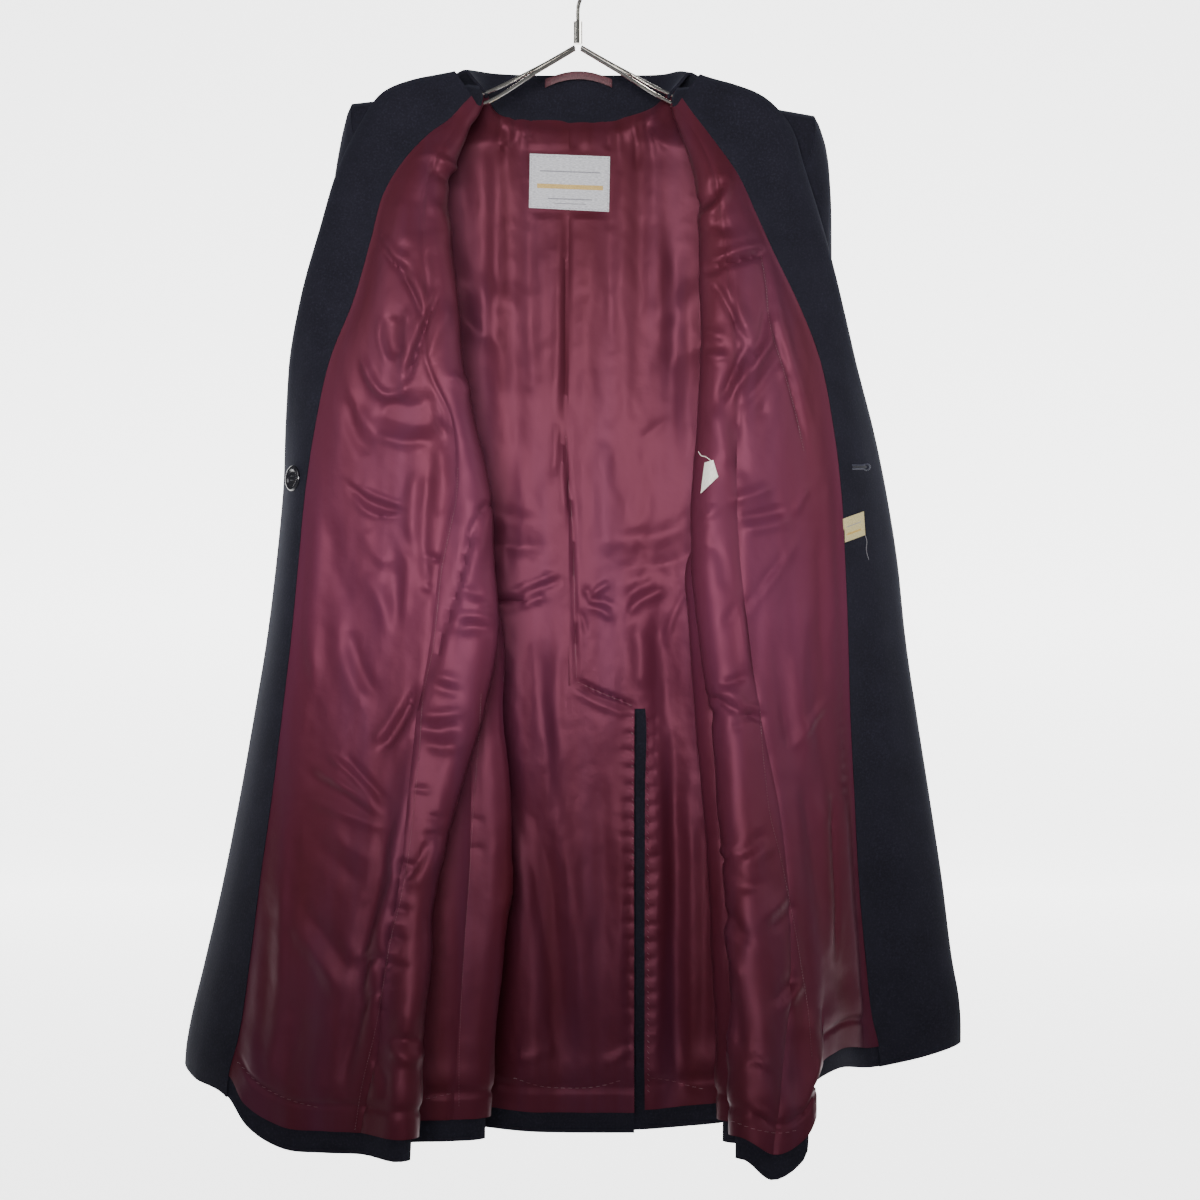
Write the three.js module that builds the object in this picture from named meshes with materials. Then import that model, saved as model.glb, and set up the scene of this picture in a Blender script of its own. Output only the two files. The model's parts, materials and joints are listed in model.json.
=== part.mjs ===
// A chesterfield coat hung open on a wire hanger, seen from its inside: both fronts are turned back
// like doors, so the lining, the facings and the inside of the back face -Y.
// Millimetres, +Z up, +X to the right of a viewer who looks along +Y. The origin is the underside of the
// hanger's hook, where it rests on a rail.
import * as THREE from "three";

// Cloth build-up, measured from the face between the outer cloth and the lining.
const SEAM_GAP = 0.3;
const WOOL = { inner: 0.2, outer: 2.2 };
const LINING = { inner: -1.2, outer: -0.2 };
const FACING = { inner: -2.2, outer: -0.2 };
const COLLAR_HALF = 1.5;
const LABEL_THICK = 0.8;

// Hanger
const WIRE_RADIUS = 1.9;
const WIRE_SIDES = 8;
const HOOK_RADIUS = 22;
const FERRULE = { radius: 4.5, top: -72, bottom: -94 };
const WIRE_Y = { upper: 2.5, lower: -4.5 };
const WIRE_DROP = 5;

// Folds and the vent
const ROLL_RADIUS = 5.5;
const CENTRE_BACK_X = -10;
const VENT_LAP = { forward: 6, reach: 57, liningStart: 68, slant: 23 };

const table = (names, rows) => {
  const keys = names.split(" ");
  return rows.map((row) => Object.fromEntries(keys.map((key, i) => [key, row[i]])));
};

// Levels down the coat. The shoulder ridge comes first, then the shoulder's turn, and the last is the hem.
const LEVELS = "a turn b c d e f g h i j k l m n o p q r hem".split(" ");
const level = (name) => LEVELS.indexOf(name);
const UNDERARM = level("i");
const VENT_TOP = level("m");
const LINING_HEM = level("r");
const HEM = level("hem");

// The turned-back front: its inner fold, the facing's seam and the outer edge or lapel roll.
const FRONT_COLUMNS =
  "foldX foldY foldZ seamX seamY seamZ edgeX edgeY edgeZ radius strip bow lapel";
const FRONT_LEFT = table(FRONT_COLUMNS, [
  [-96, -11, -158, -106, -17, -150, -122, -17, -127, 5, 0.2, 0, 0],
  [-102, -14, -167, -113, -20, -158, -137, -20, -131, 5, 0.2, 0, 10],
  [-110, -18, -178, -124, -22, -172, -162, -24, -137, 5, 0.2, 1, 26],
  [-119, -25, -200, -146, -28, -190, -191, -28, -150, 6, 0.2, 2, 44],
  [-130, -32, -234, -170, -32, -216, -214, -28, -182, 7, 0.2, 3, 56],
  [-134, -38, -267, -190, -36, -250, -233, -26, -219, 8, 0.2, 5, 60],
  [-130, -45, -307, -202, -40, -296, -254, -22, -284, 8, 0.2, 8, 56],
  [-122, -52, -357, -219, -42, -356, -274, -14, -351, 8, 0.18, 10, 46],
  [-119, -56, -416, -242, -43, -415, -286, 0, -410, 8, 0.17, 10, 30],
  [-106, -60, -480, -256, -42, -478, -291, 20, -473, 8, 0.05, 8, 14],
  [-91, -64, -543, -266, -40, -542, -293, 38, -538, 8, 0.115, 8, 0],
  [-86, -68, -611, -273, -38, -611, -300, 42, -609, 8, 0.21, 8, 0],
  [-82, -74, -684, -280, -38, -684, -310, 45, -686, 8, 0.26, 8, 0],
  [-96, -80, -761, -289, -39, -763, -324, 45, -767, 8, 0.257, 8, 0],
  [-122, -90, -842, -299, -40, -846, -340, 46, -854, 8, 0.17, 8, 0],
  [-140, -98, -918, -310, -41, -925, -357, 47, -936, 8, 0.115, 8, 0],
  [-148, -106, -993, -320, -42, -1003, -377, 48, -1018, 8, 0.165, 8, 0],
  [-152, -114, -1067, -332, -43, -1081, -394, 49, -1087, 8, 0.2, 6, 0],
  [-156, -121, -1157, -341, -44, -1116, -396, 50, -1102, 8, 0.29, 4, 0],
  [-157, -122, -1179, -343, -44, -1137, -397, 50, -1116, 8, 0.3, 4, 0],
]);
const FRONT_RIGHT = table(FRONT_COLUMNS, [
  [94, -11, -159, 104, -17, -152, 121, -17, -130, 5, 0.2, 0, 0],
  [98, -14, -168, 110, -20, -162, 133, -20, -135, 5, 0.2, 0, 10],
  [103, -18, -179, 120, -24, -177, 154, -25, -142, 5, 0.2, 1, 24],
  [111, -25, -200, 138, -28, -202, 183, -28, -155, 6, 0.2, 2, 44],
  [121, -32, -234, 159, -32, -234, 208, -28, -182, 7, 0.2, 3, 56],
  [124, -38, -269, 174, -36, -268, 222, -26, -223, 8, 0.2, 4, 60],
  [125, -44, -309, 192, -38, -308, 238, -22, -272, 8, 0.2, 6, 56],
  [126, -50, -359, 216, -36, -357, 260, -12, -349, 8, 0.2, 8, 46],
  [126, -54, -416, 238, -34, -414, 276, 10, -409, 8, 0.2, 10, 30],
  [123, -58, -480, 251, -32, -478, 295, 35, -472, 8, 0.2, 10, 14],
  [119, -62, -543, 259, -31, -542, 310, 42, -538, 8, 0.2, 10, 0],
  [118, -68, -611, 263, -30, -611, 322, 42, -609, 8, 0.22, 10, 0],
  [124, -76, -684, 266, -30, -684, 330, 38, -686, 8, 0.24, 10, 0],
  [134, -86, -760, 268, -30, -763, 341, 30, -767, 8, 0.26, 12, 0],
  [140, -98, -841, 272, -30, -847, 353, 20, -852, 8, 0.34, 14, 0],
  [146, -112, -916, 276, -30, -926, 364, 12, -932, 8, 0.4, 14, 0],
  [150, -125, -990, 283, -30, -1005, 373, 4, -1011, 8, 0.42, 12, 0],
  [149, -138, -1072, 290, -30, -1064, 379, -2, -1050, 8, 0.42, 8, 0],
  [148, -149, -1148, 296, -30, -1090, 380, -5, -1070, 8, 0.42, 2, 0],
  [148, -150, -1170, 297, -30, -1110, 380, -5, -1091, 8, 0.42, 2, 0],
]);

// The back and side: the armhole's back edge or the hidden valley below it, the inner crease, the hidden
// outer hollow, and the armhole's front edge or the layer under the turned-back front.
const BODY_COLUMNS =
  "backY backZ sideX sideY sideZ creaseX creaseY hollowX hollowY underX underY foldDepth";
const BODY_LEFT = table(BODY_COLUMNS, [
  [58, -158, -226, 0, -156, -205, 4, -205, 4, -226, 0, 0],
  [57, -166, -226, 11, -161, -205, 4, -205, 4, -226, -9, 0],
  [55, -182, -224, 32, -182, -205, 4, -205, 4, -224, -10, 0],
  [53, -212, -214, 46, -212, -205, 4, -205, 4, -214, -10, 0],
  [52, -245, -204, 50, -245, -200, 4, -200, 4, -205, -10, 0],
  [51, -285, -197, 50, -285, -196, 4, -196, 4, -198, -10, 0],
  [50, -325, -193, 48, -325, -192, 4, -192, 4, -194, -10, 0],
  [50, -370, -192, 44, -370, -190, 4, -190, 4, -192, -10, 0],
  [50, -415, -192, 38, -415, -188, 12, -188, 0, -191, -10, 0],
  [50, -480, -188, 31, -462, -182, 14, -182, -12, -176, -34, 0],
  [50, -543, -172, 38, -543, -140, -2, -164, -30, -150, -46, 6],
  [50, -611, -150, 42, -611, -100, -12, -158, -38, -140, -50, 8],
  [50, -684, -132, 44, -684, -79, -18, -160, -42, -140, -54, 8],
  [50, -761, -126, 45, -761, -77, -20, -166, -46, -146, -60, 8],
  [50, -842, -126, 45, -842, -71, -22, -174, -50, -156, -66, 8],
  [50, -918, -128, 45, -918, -71, -24, -180, -54, -166, -70, 8],
  [50, -993, -130, 45, -993, -76, -26, -184, -58, -170, -76, 8],
  [51, -1067, -132, 45, -1067, -82, -28, -188, -62, -174, -82, 8],
  [52, -1172, -134, 45, -1160, -89, -30, -190, -66, -176, -88, 8],
  [52, -1194, -134, 45, -1182, -90, -30, -190, -66, -176, -88, 8],
]);
const BODY_RIGHT = table(BODY_COLUMNS, [
  [58, -158, 236, 0, -168, 215, 4, 215, 4, 236, 0, 0],
  [57, -166, 236, 11, -173, 215, 4, 215, 4, 236, -9, 0],
  [55, -182, 234, 32, -196, 215, 4, 215, 4, 234, -10, 0],
  [53, -212, 224, 46, -224, 212, 4, 212, 4, 224, -10, 0],
  [52, -245, 213, 50, -255, 208, 4, 208, 4, 213, -10, 0],
  [51, -285, 206, 50, -292, 202, 4, 202, 4, 206, -10, 0],
  [50, -325, 202, 48, -330, 200, 4, 200, 4, 202, -10, 0],
  [50, -370, 200, 44, -373, 198, 4, 198, 4, 200, -10, 0],
  [50, -415, 200, 38, -416, 196, 12, 196, 0, 198, -10, 0],
  [50, -480, 196, 31, -464, 190, 14, 190, -12, 184, -32, 0],
  [50, -543, 182, 38, -543, 150, 0, 176, -26, 160, -42, 6],
  [50, -611, 162, 42, -611, 116, -14, 172, -36, 152, -48, 8],
  [50, -684, 152, 44, -684, 117, -20, 174, -42, 154, -54, 8],
  [50, -761, 150, 45, -761, 119, -24, 178, -48, 158, -62, 8],
  [50, -842, 150, 45, -842, 125, -30, 184, -56, 164, -72, 8],
  [50, -918, 152, 45, -918, 131, -36, 190, -64, 170, -84, 8],
  [50, -993, 156, 45, -993, 136, -42, 196, -72, 174, -94, 8],
  [51, -1067, 158, 45, -1067, 140, -48, 200, -80, 176, -104, 8],
  [52, -1172, 160, 45, -1160, 141, -54, 202, -88, 178, -112, 8],
  [52, -1194, 160, 45, -1182, 141, -54, 202, -88, 178, -112, 8],
]);

// Height of the shoulder ridge, out from the neck.
const RIDGE_LEFT = table("x z", [
  [-99, -138],
  [-122, -142],
  [-161, -148],
  [-191, -152],
  [-226, -156],
]);
const RIDGE_RIGHT = table("x z", [
  [99, -140],
  [121, -146],
  [161, -154],
  [191, -160],
  [236, -168],
]);

// How the turned-back front hangs at its hem: places of its columns there, between the fold and the
// facing. Each level above takes its share of the difference from an even spread.
const HEM_SHARE = { o: 0.12, p: 0.32, q: 0.66, r: 0.95, hem: 1 };
const HEM_LEFT = table("name x y z", [
  ["sideSeam", -205, -102, -1178],
  ["front1", -243, -88, -1180],
  ["front2", -284, -73, -1180],
  ["front3", -323, -55, -1162],
]);
const HEM_RIGHT = table("name x y z", [
  ["sideSeam", 180, -162, -1187],
  ["front1", 212, -148, -1172],
  ["front2", 219, -124, -1112],
  ["front3", 245, -92, -1101],
]);

// Places of the columns across one half, from the centre back to the lapel's edge.
const COLUMNS = (
  "lap lapMiddle centre back1 back2 neck back4 back5 side creaseRear crease creaseFront backSeam " +
  "hollowRear hollow hollowFront under under1 under2 foldRear fold foldFront sideSeam " +
  "front1 front2 front3 facingSeam facing1 rollFront edge rollRear lapel1 lapel2"
).split(" ");
const column = (name) => COLUMNS.indexOf(name);

const point = (x, y, z) => new THREE.Vector3(x, y, z);
const mix = (a, b, t) => a.clone().lerp(b, t);

function ridgeHeight(ridge, x) {
  const reach = ridge.map((row) => Math.abs(row.x));
  const at = Math.min(Math.max(Math.abs(x), reach[0]), reach[reach.length - 1]);
  const next = Math.max(1, reach.findIndex((value) => value >= at));
  const t = (at - reach[next - 1]) / (reach[next] - reach[next - 1]);
  return THREE.MathUtils.lerp(ridge[next - 1].z, ridge[next].z, t);
}

// Point on an open chain of points at a distance from its first one.
function along(chain, distance) {
  let left = distance;
  for (let i = 1; i < chain.length; i++) {
    const step = chain[i].distanceTo(chain[i - 1]);
    if (left <= step || i === chain.length - 1) return mix(chain[i - 1], chain[i], left / step);
    left -= step;
  }
  return chain[0].clone();
}

const BACK_SHARES = { centre: 0, back1: 0.2, back2: 0.4, neck: 0.55, back4: 0.7, back5: 0.85, side: 1 };
const NECK_EDGE = table("name reach y drop", [
  ["centre", 0, 58, 0],
  ["back1", 42, 55, -1],
  ["back2", 74, 42, -8],
]);

// Moves the front's columns by a share of what the hem's table asks of an even spread.
function drapeHem(at, front, share, places) {
  const last = front[HEM];
  const from = point(last.foldX + Math.sign(last.foldX) * last.radius, last.foldY - last.radius, last.foldZ);
  const to = point(last.seamX, last.seamY, last.seamZ);
  places.forEach((place, n) => {
    const even = mix(from, to, n ? THREE.MathUtils.lerp(last.strip, 1, n / 4) : last.strip);
    at[place.name].addScaledVector(point(place.x, place.y, place.z).sub(even), share);
  });
}

// One level of one half: a named point for each column.
function section(rowIndex, front, body, ridge, side) {
  const f = front[rowIndex];
  const b = body[rowIndex];
  const at = {};
  const onRidge = LEVELS[rowIndex] === "a" || LEVELS[rowIndex] === "turn";
  const ridgeDrop = LEVELS[rowIndex] === "turn" ? 6 : 0;

  // Back
  const vented = rowIndex >= VENT_TOP;
  const forward = side < 0 && vented ? VENT_LAP.forward : 0;
  const slant = side < 0 && rowIndex === VENT_TOP ? VENT_LAP.slant : 0;
  const centre = point(CENTRE_BACK_X, b.backY - forward, b.backZ + slant);
  const sidePoint = point(b.sideX, b.sideY, b.sideZ);
  const liningShare = (VENT_LAP.liningStart - CENTRE_BACK_X) / (b.sideX - CENTRE_BACK_X);
  at.lap = point(VENT_LAP.reach, centre.y, b.backZ);
  at.lapMiddle = mix(centre, at.lap, 0.5);
  for (const [name, usual] of Object.entries(BACK_SHARES)) {
    const share = side > 0 && vented && name === "back2" ? liningShare : usual;
    const x = THREE.MathUtils.lerp(centre.x, sidePoint.x, share);
    const y = THREE.MathUtils.lerp(centre.y, sidePoint.y, share ** 2);
    const z = THREE.MathUtils.lerp(centre.z, sidePoint.z, share ** 2);
    at[name] = point(x, y, z);
  }
  if (onRidge) {
    const names = ["neck", "back4", "back5", "side"];
    names.forEach((name, i) => {
      const x = THREE.MathUtils.lerp(ridge[0].x, b.sideX, i / 3);
      at[name] = point(x, b.sideY, ridgeHeight(ridge, x) - ridgeDrop + (ridgeDrop ? 1 : 0));
    });
    for (const edge of NECK_EDGE)
      at[edge.name] = point(
        edge.reach ? side * (edge.reach + 5) + CENTRE_BACK_X / 2 : CENTRE_BACK_X,
        edge.y - (ridgeDrop ? 1 : 0),
        b.backZ - edge.drop - (ridgeDrop ? edge.reach * 0.02 : 0),
      );
  }

  // Side folds: three points round each, which lie in line where the fold has no depth.
  const spread = 8;
  const crease = point(b.creaseX, b.creaseY, THREE.MathUtils.lerp(b.sideZ, f.foldZ, 0.35));
  const hollow = point(b.hollowX, b.hollowY, THREE.MathUtils.lerp(b.sideZ, f.foldZ, 0.6));
  at.creaseRear = crease.clone().add(point(side * b.foldDepth, spread, 0));
  at.crease = crease;
  at.creaseFront = crease.clone().add(point(side * b.foldDepth, -spread, 0));
  at.hollowRear = hollow.clone().add(point(-side * b.foldDepth, spread, 0));
  at.hollow = hollow;
  at.hollowFront = hollow.clone().add(point(-side * b.foldDepth, -spread, 0));
  at.backSeam = mix(at.creaseFront, at.hollowRear, b.foldDepth ? 0.3 : 0.5);

  // Layer under the front, and the fold itself
  const fold = point(f.foldX, f.foldY, f.foldZ);
  at.fold = fold;
  at.foldRear = fold.clone().add(point(side * f.radius, f.radius, 0));
  at.foldFront = fold.clone().add(point(side * f.radius, -f.radius, 0));
  const underZ = THREE.MathUtils.lerp(b.sideZ, f.foldZ, rowIndex < UNDERARM ? 0 : 0.75);
  at.under = point(b.underX, b.underY, underZ);
  if (onRidge) {
    at.foldRear = point(ridge[0].x, b.underY, ridgeHeight(ridge, ridge[0].x) - ridgeDrop);
    ["under", "under1", "under2"].forEach((name, i) => {
      const x = THREE.MathUtils.lerp(b.underX, ridge[0].x, i / 3);
      at[name] = point(x, b.underY, ridgeHeight(ridge, x) - ridgeDrop);
    });
  } else {
    at.under1 = mix(at.under, at.foldRear, 1 / 3);
    at.under2 = mix(at.under, at.foldRear, 2 / 3);
  }

  // The turned-back front, bowed towards the viewer between its fold and the facing's seam
  const seam = point(f.seamX, f.seamY, f.seamZ);
  const edge = point(f.edgeX, f.edgeY, f.edgeZ);
  const bowed = (share) => {
    const p = mix(at.foldFront, seam, share);
    p.y -= f.bow * 4 * share * (1 - share);
    return p;
  };
  at.sideSeam = bowed(f.strip);
  [1, 2, 3].forEach((n) => {
    at["front" + n] = bowed(THREE.MathUtils.lerp(f.strip, 1, n / 4));
  });
  at.facingSeam = seam;
  const hemShare = HEM_SHARE[LEVELS[rowIndex]] ?? 0;
  if (hemShare) drapeHem(at, front, hemShare, side < 0 ? HEM_LEFT : HEM_RIGHT);

  // Facing, bowed outwards, then the roll and the lapel behind the front
  const reach = edge.clone().sub(seam);
  const out = point(reach.y, -reach.x, 0).multiplyScalar(-side).normalize();
  const outward = out.y < 0 ? out : out.negate();
  at.facing1 = mix(seam, edge, 0.5).addScaledVector(outward, reach.length() * 0.12);
  const tip = edge.clone().sub(at.facing1).normalize();
  const behind = outward.clone().negate();
  at.edge = edge;
  at.rollFront = edge.clone().addScaledVector(tip, -ROLL_RADIUS).addScaledVector(behind, -ROLL_RADIUS * 0.5);
  const chain = [at.rollFront, at.facing1, seam, at.front3, at.front2, at.front1];
  const onLapel = (distance) =>
    along(chain, distance).addScaledVector(behind, 2 * ROLL_RADIUS);
  at.rollRear = onLapel(0.01);
  at.lapel1 = onLapel(Math.max(f.lapel * 0.5, 1));
  at.lapel2 = onLapel(Math.max(f.lapel, 2));
  return COLUMNS.map((name) => at[name]);
}

// A grid of points and the normals that point to the coat's outside.
function surface(points, active, side) {
  const normals = points.map((row) => row.map(() => point(0, 0, 0)));
  for (let i = 0; i + 1 < points.length; i++)
    for (let j = 0; j + 1 < points[0].length; j++) {
      if (!active(i, j)) continue;
      const down = points[i + 1][j].clone().add(points[i + 1][j + 1]);
      down.sub(points[i][j]).sub(points[i][j + 1]);
      const across = points[i][j + 1].clone().add(points[i + 1][j + 1]);
      across.sub(points[i][j]).sub(points[i + 1][j]);
      const normal = down.cross(across).multiplyScalar(-side).normalize();
      for (const [di, dj] of [[0, 0], [0, 1], [1, 0], [1, 1]]) normals[i + di][j + dj].add(normal);
    }
  normals.forEach((row) => row.forEach((normal) => normal.normalize()));
  return { points, normals, side };
}

// A closed wall over the grid's cells that belong to a piece, kept half a seam gap inside its outline.
function wall(sheet, owns, inner, outer, gap = SEAM_GAP) {
  const { points, normals, side } = sheet;
  const rows = points.length;
  const columns = points[0].length;
  const has = (i, j) => i >= 0 && j >= 0 && i + 1 < rows && j + 1 < columns && owns(i, j);
  const away = new Map();
  const pull = (i, j, direction) => {
    const key = i * columns + j;
    const list = away.get(key) ?? away.set(key, []).get(key);
    if (!list.some((other) => other.dot(direction) > 0.9)) list.push(direction);
  };
  const edges = [];
  const addEdge = (i0, j0, i1, j1, insideI, insideJ) => {
    const a = points[i0][j0];
    const b = points[i1][j1];
    const run = b.clone().sub(a).normalize();
    const inward = points[insideI][insideJ].clone().sub(a);
    inward.addScaledVector(run, -inward.dot(run)).normalize();
    pull(i0, j0, inward);
    pull(i1, j1, inward);
    edges.push([i0, j0, i1, j1]);
  };
  const cells = [];
  for (let i = 0; i + 1 < rows; i++)
    for (let j = 0; j + 1 < columns; j++) {
      if (!has(i, j)) continue;
      cells.push([i, j]);
      if (!has(i - 1, j)) addEdge(i, j + 1, i, j, i + 1, j);
      if (!has(i + 1, j)) addEdge(i + 1, j, i + 1, j + 1, i, j);
      if (!has(i, j - 1)) addEdge(i, j, i + 1, j, i, j + 1);
      if (!has(i, j + 1)) addEdge(i + 1, j + 1, i, j + 1, i + 1, j);
    }
  const index = new Map();
  const positions = [];
  const vertex = (i, j, top) => {
    const key = (i * columns + j) * 2 + (top ? 1 : 0);
    if (!index.has(key)) {
      const p = points[i][j].clone();
      for (const direction of away.get(i * columns + j) ?? []) p.addScaledVector(direction, gap / 2);
      p.addScaledVector(normals[i][j], top ? outer : inner);
      index.set(key, positions.length / 3);
      positions.push(p.x, p.y, p.z);
    }
    return index.get(key);
  };
  const faces = [];
  const quad = (a, b, c, d) => (side < 0 ? faces.push(a, b, c, a, c, d) : faces.push(a, c, b, a, d, c));
  for (const [i, j] of cells) {
    const corners = [[i, j], [i + 1, j], [i + 1, j + 1], [i, j + 1]];
    const falling = points[i][j].distanceTo(points[i + 1][j + 1]);
    const rising = points[i + 1][j].distanceTo(points[i][j + 1]);
    if (rising < falling) corners.push(corners.shift());
    quad(...corners.map(([r, c]) => vertex(r, c, true)));
    const [first, ...others] = corners;
    quad(...[first, ...others.reverse()].map(([r, c]) => vertex(r, c, false)));
  }
  for (const [i0, j0, i1, j1] of edges)
    quad(vertex(i0, j0, true), vertex(i0, j0, false), vertex(i1, j1, false), vertex(i1, j1, true));
  const geometry = new THREE.BufferGeometry();
  geometry.setAttribute("position", new THREE.Float32BufferAttribute(positions, 3));
  geometry.setIndex(faces);
  geometry.computeVertexNormals();
  return geometry;
}

// A closed tube wall through rings of points, open at both ends.
// flatEnd says for which points of the first ring the wall stands square to X.
function tubeWall(rings, inner, outer, flatEnd) {
  const count = rings[0].length;
  const normals = rings.map((ring) => ring.map(() => point(0, 0, 0)));
  const middle = (ring) => ring.reduce((sum, p) => sum.add(p), point(0, 0, 0)).divideScalar(count);
  const centres = rings.map(middle);
  for (let k = 0; k + 1 < rings.length; k++)
    for (let n = 0; n < count; n++) {
      const m = (n + 1) % count;
      const down = rings[k + 1][n].clone().add(rings[k + 1][m]).sub(rings[k][n]).sub(rings[k][m]);
      const round = rings[k][m].clone().add(rings[k + 1][m]).sub(rings[k][n]).sub(rings[k + 1][n]);
      const normal = down.cross(round).normalize();
      if (normal.dot(mix(rings[k][n], rings[k + 1][m], 0.5).sub(mix(centres[k], centres[k + 1], 0.5))) < 0)
        normal.negate();
      for (const [dk, at] of [[0, n], [0, m], [1, n], [1, m]]) normals[k + dk][at].add(normal);
    }
  const positions = [];
  rings.forEach((ring, k) =>
    ring.forEach((p, n) => {
      const normal = normals[k][n];
      if (k === 0 && flatEnd(n)) normal.setX(0);
      normal.normalize();
      for (const offset of [inner, outer]) {
        const q = p.clone().addScaledVector(normal, offset);
        positions.push(q.x, q.y, q.z);
      }
    }),
  );
  const id = (k, n, top) => (k * count + (n % count)) * 2 + top;
  const faces = [];
  const quad = (a, b, c, d) => faces.push(a, b, c, a, c, d);
  for (let n = 0; n < count; n++) {
    for (let k = 0; k + 1 < rings.length; k++) {
      quad(id(k, n, 1), id(k + 1, n, 1), id(k + 1, n + 1, 1), id(k, n + 1, 1));
      quad(id(k, n + 1, 0), id(k + 1, n + 1, 0), id(k + 1, n, 0), id(k, n, 0));
    }
    const last = rings.length - 1;
    quad(id(0, n, 0), id(0, n, 1), id(0, n + 1, 1), id(0, n + 1, 0));
    quad(id(last, n, 1), id(last, n, 0), id(last, n + 1, 0), id(last, n + 1, 1));
  }
  const geometry = new THREE.BufferGeometry();
  geometry.setAttribute("position", new THREE.Float32BufferAttribute(positions, 3));
  geometry.setIndex(signedVolume(positions, faces) > 0 ? faces : faces.reverse());
  geometry.computeVertexNormals();
  return geometry;
}

function signedVolume(positions, faces) {
  const at = (i) => point(...positions.slice(3 * i, 3 * i + 3));
  let six = 0;
  for (let i = 0; i < faces.length; i += 3)
    six += at(faces[i]).dot(at(faces[i + 1]).cross(at(faces[i + 2])));
  return six / 6;
}

const materials = {
  wool: { color: 0x23222f, roughness: 0.9, metalness: 0 },
  satin: { color: 0x6b3a4a, roughness: 0.4, metalness: 0 },
  loopBraid: { color: 0x7b3f4a, roughness: 0.6, metalness: 0 },
  paleCloth: { color: 0xd0cfd2, roughness: 0.8, metalness: 0 },
  creamCloth: { color: 0xcdbf8f, roughness: 0.8, metalness: 0 },
  horn: { color: 0x15151b, roughness: 0.25, metalness: 0 },
  chrome: { color: 0xd8d6d0, roughness: 0.15, metalness: 1 },
};

const coat = new THREE.Group();
function add(name, geometry, finish) {
  const mesh = new THREE.Mesh(geometry, new THREE.MeshStandardMaterial(materials[finish]));
  mesh.name = name;
  coat.add(mesh);
  return mesh;
}

// Which cells of a half's grid each piece takes
const [centreColumn, sideColumn, backSeam, sideSeam, under, facingSeam, edgeColumn, lapelEdge] = [
  "centre", "side", "backSeam", "sideSeam", "under", "facingSeam", "edge", "lapel2",
].map(column);
const LAPEL_TOP = level("turn");
const within = (j, from, to) => j >= from && j < to;
const frontLimit = (i) => (i >= LAPEL_TOP && i < UNDERARM ? lapelEdge : edgeColumn);
const OWNERS = {
  back: (i, j, side) =>
    within(j, side < 0 && i >= VENT_TOP ? 0 : centreColumn, i < UNDERARM ? sideColumn : backSeam),
  side: (i, j) => i >= UNDERARM && within(j, backSeam, sideSeam),
  front: (i, j) => within(j, i < UNDERARM ? under : sideSeam, frontLimit(i)),
  facing: (i, j) => within(j, facingSeam, frontLimit(i)),
};

function half(name, side, front, body, ridge) {
  const points = LEVELS.map((_, i) => section(i, front, body, ridge, side));
  const covered = (i, j) => ["back", "side", "front"].some((piece) => OWNERS[piece](i, j, side));
  const sheet = surface(points, covered, side);
  ["neck", "back4", "back5", "side", "under", "under1", "under2", "foldRear"].forEach((ridgeColumn) =>
    sheet.normals[0][column(ridgeColumn)].set(0, 0, 1),
  );
  sheet.normals.forEach((row) => row[centreColumn].setX(0).normalize());
  for (const row of sheet.normals.slice(1, UNDERARM + 1))
    for (const armholeColumn of [sideColumn, under]) row[armholeColumn].setX(0).normalize();

  for (const piece of ["back", "side", "front"])
    add(`${piece}_${name}`, wall(sheet, (i, j) => OWNERS[piece](i, j, side), WOOL.inner, WOOL.outer), "wool");
  add(`facing_${name}`, wall(sheet, OWNERS.facing, FACING.inner, FACING.outer), "wool");
  const lined = (piece) => (i, j) => {
    if (i >= LINING_HEM || j >= facingSeam || !OWNERS[piece](i, j, side)) return false;
    return !(side > 0 && i >= VENT_TOP && j < column("back2"));
  };
  for (const piece of ["back", "side", "front"])
    add(`lining_${piece}_${name}`, wall(sheet, lined(piece), LINING.inner, LINING.outer), "satin");
  return sheet;
}

// Sleeve: its first ring is the armhole's own loop, the others are flattened ovals down to the cuff.
const SLEEVE_COLUMNS = "outX outZ inX inZ frontY rearY";
const SLEEVE_LEFT = table(SLEEVE_COLUMNS, [
  [-236, -182, -196, -464, -12, 50],
  [-244, -232, -199, -470, -13, 55],
  [-250, -300, -200, -480, -14, 61],
  [-260, -385, -200, -500, -15, 68],
  [-268, -470, -200, -535, -17, 76],
  [-274, -560, -199, -590, -22, 82],
  [-277, -660, -200, -670, -24, 84],
  [-277, -745, -203, -745, -24, 82],
  [-276, -806, -206, -800, -22, 78],
]);
const SLEEVE_RIGHT = table(SLEEVE_COLUMNS, [
  [248, -194, 203, -466, -10, 50],
  [253, -240, 206, -472, -8, 56],
  [254, -305, 208, -482, -4, 64],
  [255, -385, 208, -502, 0, 72],
  [264, -470, 208, -538, 2, 80],
  [272, -560, 207, -592, 0, 86],
  [278, -660, 207, -672, -4, 88],
  [279, -745, 208, -747, -6, 88],
  [279, -806, 210, -802, -4, 84],
]);
const ARMHOLE_LIFT = { corner: 4, bottom: 6.5 };
const ARMHOLE_CLEAR = 1.8;

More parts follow.
